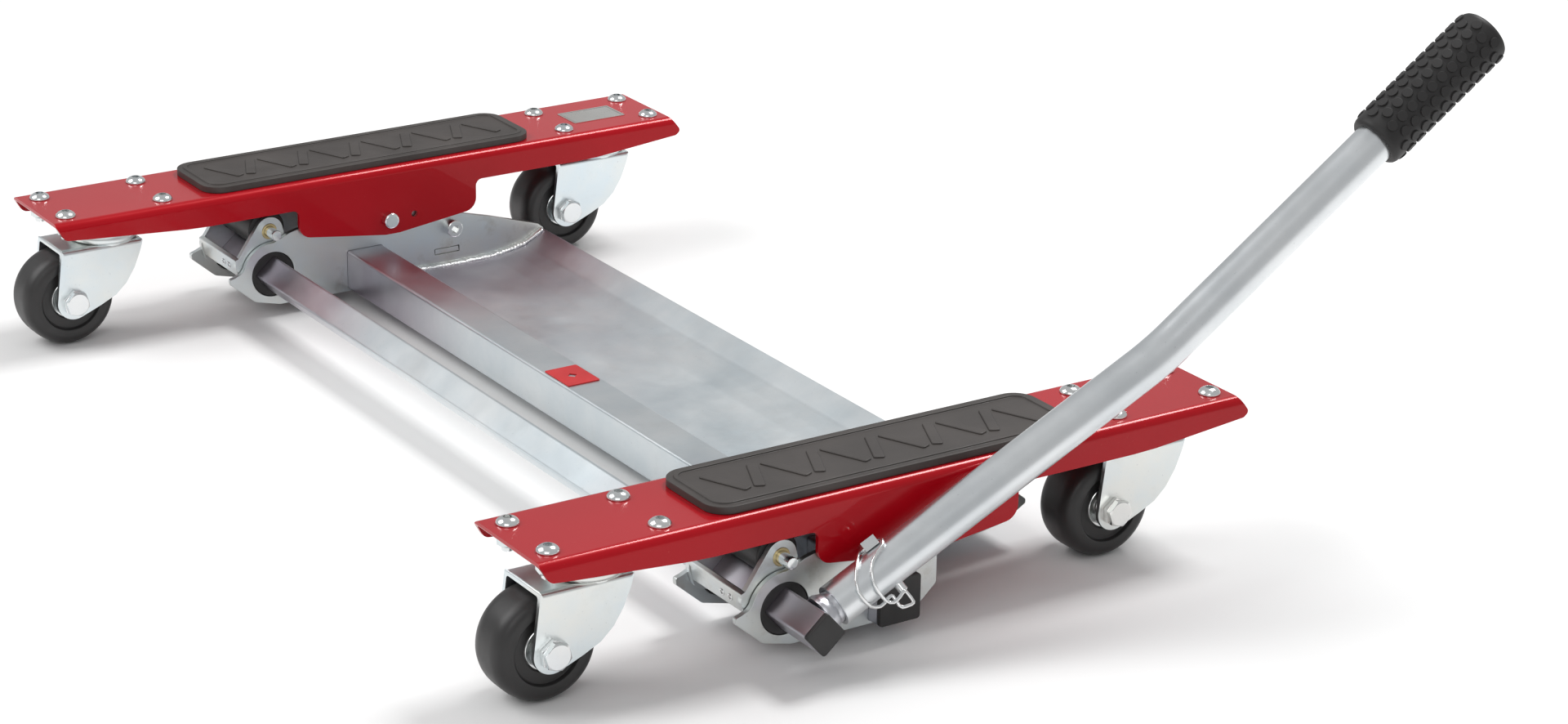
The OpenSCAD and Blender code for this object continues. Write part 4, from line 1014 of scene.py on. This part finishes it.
def ramp(tree, value, stops):
    """Colours or grey levels along a value."""
    node = tree.nodes.new("ShaderNodeValToRGB")
    while len(node.color_ramp.elements) < len(stops):
        node.color_ramp.elements.new(0.5)
    for element, (place, colour) in zip(node.color_ramp.elements, stops):
        element.position = place
        element.color = (colour, colour, colour, 1) if isinstance(colour, (int, float)) else (*colour, 1)
    tree.links.new(value, node.inputs["Fac"])
    return node.outputs["Color"]


def blend_colours(tree, factor, a, b, kind="MIX"):
    """Mix two colours by a factor that is a socket or a number."""
    node = tree.nodes.new("ShaderNodeMix")
    node.data_type = "RGBA"
    node.blend_type = kind
    for socket, value in ((node.inputs[0], factor), (node.inputs[6], a), (node.inputs[7], b)):
        if isinstance(value, bpy.types.NodeSocket):
            tree.links.new(value, socket)
        else:
            socket.default_value = value if isinstance(value, (int, float)) else (*value, 1)
    return node.outputs[2]


def relief(tree, shader, layers):
    """Stack bumps (height socket, strength, depth in mm) onto the shader's normal."""
    last = None
    for height, strength, depth in layers:
        node = tree.nodes.new("ShaderNodeBump")
        node.inputs["Strength"].default_value = strength
        node.inputs["Distance"].default_value = depth * MM
        tree.links.new(height, node.inputs["Height"])
        if last is not None:
            tree.links.new(last, node.inputs["Normal"])
        last = node.outputs["Normal"]
    tree.links.new(last, shader.inputs["Normal"])


def wire_up(tree, shader, **sockets):
    """Link sockets or set plain values on the shader by name."""
    for key, value in sockets.items():
        socket = shader.inputs[key.replace("_", " ")]
        if isinstance(value, bpy.types.NodeSocket):
            tree.links.new(value, socket)
        else:
            socket.default_value = value if isinstance(value, (int, float)) else (*value, 1)


print("finish tools ready")

# %% Paint, rubber and plastic
def red_powder_coat():
    material, tree, shader, coords = start_finish("red_powder_coat")
    tone = ramp(tree, noise(tree, coords, 9, 2), [(0.3, (0.36, 0.001, 0.006)), (0.7, (0.41, 0.002, 0.009))])
    dust = ramp(tree, noise(tree, coords, 420, 2), [(0.72, 0.0), (0.80, 1.0)])
    tone = blend_colours(tree, dust, tone, (0.42, 0.02, 0.02))
    wire_up(tree, shader, Base_Color=tone, Coat_Weight=0.34, Coat_Roughness=0.03, Specular_Tint=(1.0, 0.10, 0.10),
            Roughness=ramp(tree, noise(tree, coords, 30, 3), [(0.3, 0.20), (0.7, 0.27)]))
    relief(tree, shader, [(noise(tree, coords, 330, 1), 0.05, 0.3)])
    return material


def soft_black(name, colour, roughness, grain, depth, specular=0.5):
    """Rubber or plastic: a near-black with faint cloudiness and a moulded grain."""
    material, tree, shader, coords = start_finish(name)
    lighter = tuple(c * 1.5 for c in colour)
    tone = ramp(tree, noise(tree, coords, 22, 4), [(0.35, colour), (0.75, lighter)])
    rough = ramp(tree, noise(tree, coords, 60, 4), [(0.3, roughness - 0.06), (0.75, roughness + 0.08)])
    wire_up(tree, shader, Base_Color=tone, Roughness=rough, Specular_IOR_Level=specular)
    relief(tree, shader, [(noise(tree, coords, grain, 3), 0.25, depth)])
    return material


red = red_powder_coat()
pad_rubber = soft_black("pad_rubber", (0.038, 0.032, 0.029), 0.50, 1400, 0.06)
grip_rubber = soft_black("grip_rubber", (0.016, 0.015, 0.015), 0.52, 1600, 0.05, 0.4)
wheel_black = soft_black("wheel_tread_black", (0.018, 0.017, 0.017), 0.42, 900, 0.05)
moulded_black = soft_black("moulded_black", (0.014, 0.013, 0.013), 0.50, 1200, 0.05)
print("blacks and red ready")

# %% Zinc plating and bright steel
def zinc_plating(name, cool, warm, rough, scratch_along=(1, 1, 0.05), stains=0.25, scratch=0.10, painted_reflection_span=None):
    """Bright zinc: cool and warm clouds, a few dull stains, fine drawn scratches, and a painted reflection of the red
    channels as a darker purple band near the ends.
    """
    material, tree, shader, coords = start_finish(name)
    clouds = ramp(tree, noise(tree, coords, 16, 5, rough=0.6), [(0.35, cool), (0.68, warm)])
    stain_fac = ramp(tree, noise(tree, coords, 38, 6, rough=0.65), [(0.58, 0.0), (0.75, stains)])
    clouds = blend_colours(tree, stain_fac, clouds, (0.40, 0.38, 0.33))
    specks = ramp(tree, noise(tree, coords, 520, 2), [(0.70, 0.0), (0.78, 0.35)])
    clouds = blend_colours(tree, specks, clouds, (0.36, 0.38, 0.40))
    # Painted reflection: a patchy darker purple tint rises towards both ends over the given span of y. It stands in for
    # the dark red channels reflected in the zinc.
    if painted_reflection_span:
        parts = tree.nodes.new("ShaderNodeSeparateXYZ")
        across = tree.nodes.new("ShaderNodeMath")
        across.operation = "ABSOLUTE"
        reflection_ramp = tree.nodes.new("ShaderNodeMapRange")
        reflection_ramp.inputs["From Min"].default_value, reflection_ramp.inputs["From Max"].default_value = painted_reflection_span
        tree.links.new(coords, parts.inputs[0])
        tree.links.new(parts.outputs["Y"], across.inputs[0])
        tree.links.new(across.outputs[0], reflection_ramp.inputs["Value"])
        patchy_reflection = tree.nodes.new("ShaderNodeMath")
        patchy_reflection.operation = "MULTIPLY"
        tree.links.new(reflection_ramp.outputs[0], patchy_reflection.inputs[0])
        tree.links.new(ramp(tree, noise(tree, coords, 12, 3), [(0.3, 0.35), (0.62, 0.95)]), patchy_reflection.inputs[1])
        clouds = blend_colours(tree, patchy_reflection.outputs[0], clouds, (0.36, 0.31, 0.37))
    drawn = noise(tree, coords, 260, 4, stretch=scratch_along, rough=0.7)
    gloss = ramp(tree, noise(tree, coords, 28, 5, rough=0.6), [(0.3, rough - 0.03), (0.72, rough + 0.05)])
    wire_up(tree, shader, Base_Color=clouds, Metallic=1.0, Roughness=gloss)
    relief(tree, shader, [(drawn, scratch, 0.08), (noise(tree, coords, 900, 2), 0.06, 0.05)])
    return material


COOL, PALE, WARM = (0.64, 0.70, 0.73), (0.76, 0.79, 0.80), (0.68, 0.68, 0.64)
zinc_pressed = zinc_plating("zinc_pressed", (0.70, 0.78, 0.82), (0.80, 0.81, 0.78), 0.30, stains=0.15, scratch=0.05)
zinc_plate = zinc_plating("zinc_side_plate", COOL, WARM, 0.36, stains=0.55, scratch=0.08)
# The deck sheet and the cross tube carry the painted reflection of the red channels near their ends; the last pair of
# numbers is its span in metres.
zinc_deck = zinc_plating("zinc_deck_sheet", COOL, PALE, 0.42, (1, 0.04, 1), 0.1, 0.06, (0.20, 0.31))
zinc_bar = zinc_plating("zinc_square_tube", COOL, PALE, 0.33, (1, 0.03, 1), 0.1, 0.08, (0.14, 0.29))
zinc_handle = zinc_plating("zinc_handle_tube", (0.70, 0.73, 0.75), (0.80, 0.82, 0.83), 0.30, (0.06, 1, 1), 0.05, 0.12)
bright = zinc_plating("bright_fasteners", (0.74, 0.77, 0.79), (0.82, 0.82, 0.80), 0.16, (1, 1, 1), 0.1, 0.03)
wire_zinc = zinc_plating("bright_wire", (0.80, 0.82, 0.83), (0.86, 0.86, 0.85), 0.20, (1, 1, 1), 0.0, 0.03)
weld_silver = zinc_plating("weld_silver", (0.80, 0.82, 0.83), (0.90, 0.90, 0.89), 0.30, (1, 1, 1), 0.15, 0.3)
brass_tone = zinc_plating("brass_bush", (0.55, 0.44, 0.22), (0.66, 0.55, 0.31), 0.30, (1, 1, 1), 0.4, 0.1)
silver_plate = zinc_plating("silver_nameplate", (0.66, 0.64, 0.60), (0.78, 0.77, 0.74), 0.28, (0.05, 1, 1), 0.1, 0.12)
print("metals ready")

# %% Marker red
def marker_red_finish():
    material, tree, shader, coords = start_finish("marker_red_plastic")
    tone = ramp(tree, noise(tree, coords, 60, 3), [(0.3, (0.44, 0.006, 0.008)), (0.7, (0.52, 0.010, 0.012))])
    wire_up(tree, shader, Base_Color=tone, Roughness=ramp(tree, noise(tree, coords, 90, 3), [(0.3, 0.30), (0.7, 0.42)]))
    relief(tree, shader, [(noise(tree, coords, 700, 2), 0.1, 0.05)])
    return material


marker_red = marker_red_finish()
print("marker ready")

# %% [markdown]
# ## Telling the frame what stands for what
# Each piece rides on one body of the mechanism, takes its finish and hides the CAD node it stands for. The tables also
# carry a slot word for each finish, which nothing here reads.

# %% Pieces, bodies and slots
def hand_over(piece, node, body, finish):
    """Give a piece its finish and tie it to the frame."""
    piece.data.materials.clear()
    piece.data.materials.append(finish)
    for face in piece.data.polygons:
        face.material_index = 0
    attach(piece, body)
    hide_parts(node)


beam_table = {"red_channel": ("channel", "red_paint", red), "foot_pad": ("pad", "black_rubber", pad_rubber),
              "cap_screws": ("button_screws", "bright_steel", bright), "nylon_nuts": ("lock_nuts", "zinc", zinc_pressed),
              "mounting_plates": ("castor_plates", "zinc", zinc_pressed),
              "wear_block": ("slide_block", "black_plastic", moulded_black), "hinge_pin": ("pivot_pin", "bright_steel", bright)}
for side_word, pieces in (("near", near_set), ("far", far_set)):
    for word, (node, slot, finish) in beam_table.items():
        hand_over(pieces[word], side_word + "_" + node, side_word + "_beam", finish)
hand_over(badge, "far_nameplate", "far_beam", silver_plate)
corner_words = {"nl": "near_left", "nr": "near_right", "fl": "far_left", "fr": "far_right"}
castor_table = {"pressed_fork": ("fork", "castor", "zinc", zinc_pressed), "hex_axle_bolt": ("axle_bolt", "castor", "bright_steel", bright),
                "castor_wheel": ("wheel", "wheel", "wheel_black", wheel_black), "bearing_pair": ("bearings", "wheel", "bright_steel", bright)}
for corner, words in corner_words.items():
    for word, (node, part, slot, finish) in castor_table.items():
        hand_over(castor_set[corner + "_" + word], corner + "_" + node, words + "_" + part, finish)
deck_table = [(near_outer, "near_outer_plate", "zinc", zinc_plate), (near_inner, "near_inner_plate", "zinc", zinc_plate),
              (far_inner, "far_inner_plate", "zinc", zinc_plate), (far_outer, "far_outer_plate", "zinc", zinc_plate),
              (tube, "cross_tube", "zinc", zinc_bar), (tube_caps, "tube_caps", "black_plastic", moulded_black),
              (deck, "deck_sheet", "zinc", zinc_deck), (welds, "deck_welds", "weld", weld_silver),
              (plate_screws, "plate_screws", "bright_steel", bright), (plate_nuts, "plate_nuts", "zinc", zinc_pressed),
              (plate_tabs, "plate_tabs", "zinc", zinc_plate), (marker, "tube_marker", "marker_red", marker_red)]
for piece, node, slot, finish in deck_table:
    hand_over(piece, node, "deck_frame", finish)
lever_table = [(shaft, "shaft", "zinc", zinc_bar), (near_yoke, "near_yoke", "zinc", zinc_plate), (far_yoke, "far_yoke", "zinc", zinc_plate),
               (bushes, "shaft_bushes", "black_plastic", moulded_black), (shaft_caps, "shaft_caps", "black_plastic", moulded_black),
               (crank_pin, "crank_pins", "bright_steel", bright), (brass, "pin_bushes", "brass", brass_tone),
               (grubs, "yoke_screws", "bright_steel", bright), (stub, "handle_stub", "zinc", zinc_bar),
               (handle, "handle_tube", "zinc_tube", zinc_handle), (grip, "grip", "black_rubber", grip_rubber),
               (lock_piece, "lock_pin", "bright_steel", wire_zinc)]
for piece, node, slot, finish in lever_table:
    hand_over(piece, node, "lever", finish)
hand_over(roller, "near_roller", "near_roller", moulded_black)
hand_over(far_roller, "far_roller", "far_roller", moulded_black)
hand_over(wire, "pin_bail", "pin_bail", wire_zinc)

# %% [markdown]
# ## Floor and studio light
# The floor is one pale sheet that runs far past the view. A wide soft light overhead draws
# the thin highlight along the folds of the beams, a second from the back left gives the soft
# shadow, and a pale surrounding sky fills the rest.

# %% Floor
bpy.ops.object.select_all(action="DESELECT")
bpy.ops.mesh.primitive_plane_add(size=24, location=(0, 4, -0.0005))
floor = settle(bpy.context.active_object, "studio_floor")
floor_finish, tree, shader, coords = start_finish("pale_floor")
tone = ramp(tree, noise(tree, coords, 0.8, 2), [(0.3, (0.86, 0.855, 0.85)), (0.7, (0.88, 0.877, 0.873))])
wire_up(tree, shader, Base_Color=tone, Roughness=0.75, Specular_IOR_Level=0.2)
floor.data.materials.append(floor_finish)
print("floor laid")

# %% Lights
def soft_light(name, place, target, size, power, colour=(1, 1, 1)):
    """A square soft light aimed at a point."""
    data = bpy.data.lights.new(name, "AREA")
    data.shape = "RECTANGLE"
    data.size, data.size_y = size
    data.energy = power
    data.color = colour
    lamp = bpy.data.objects.new(name, data)
    bpy.context.scene.collection.objects.link(lamp)
    lamp.location = place
    lamp.rotation_euler = (Vector(target) - Vector(place)).to_track_quat("-Z", "Y").to_euler()
    return lamp


soft_light("overhead_softbox", (1.5, 0.2, 2.5), (0, 0, 0), (0.9, 0.9), 50)
soft_light("back_left_softbox", (-2.4, 1.6, 2.8), (0, 0, 0), (2.2, 2.2), 66)
soft_light("front_fill", (-2.2, -2.6, 2.4), (0, 0, 0.1), (2.4, 2.0), 22)
world = bpy.data.worlds.new("pale_room")
world.use_nodes = True
bpy.context.scene.world = world
world.node_tree.nodes["Background"].inputs["Color"].default_value = (0.98, 0.99, 1.0, 1)
world.node_tree.nodes["Background"].inputs["Strength"].default_value = 0.50
bpy.context.scene.view_settings.view_transform = "Standard"
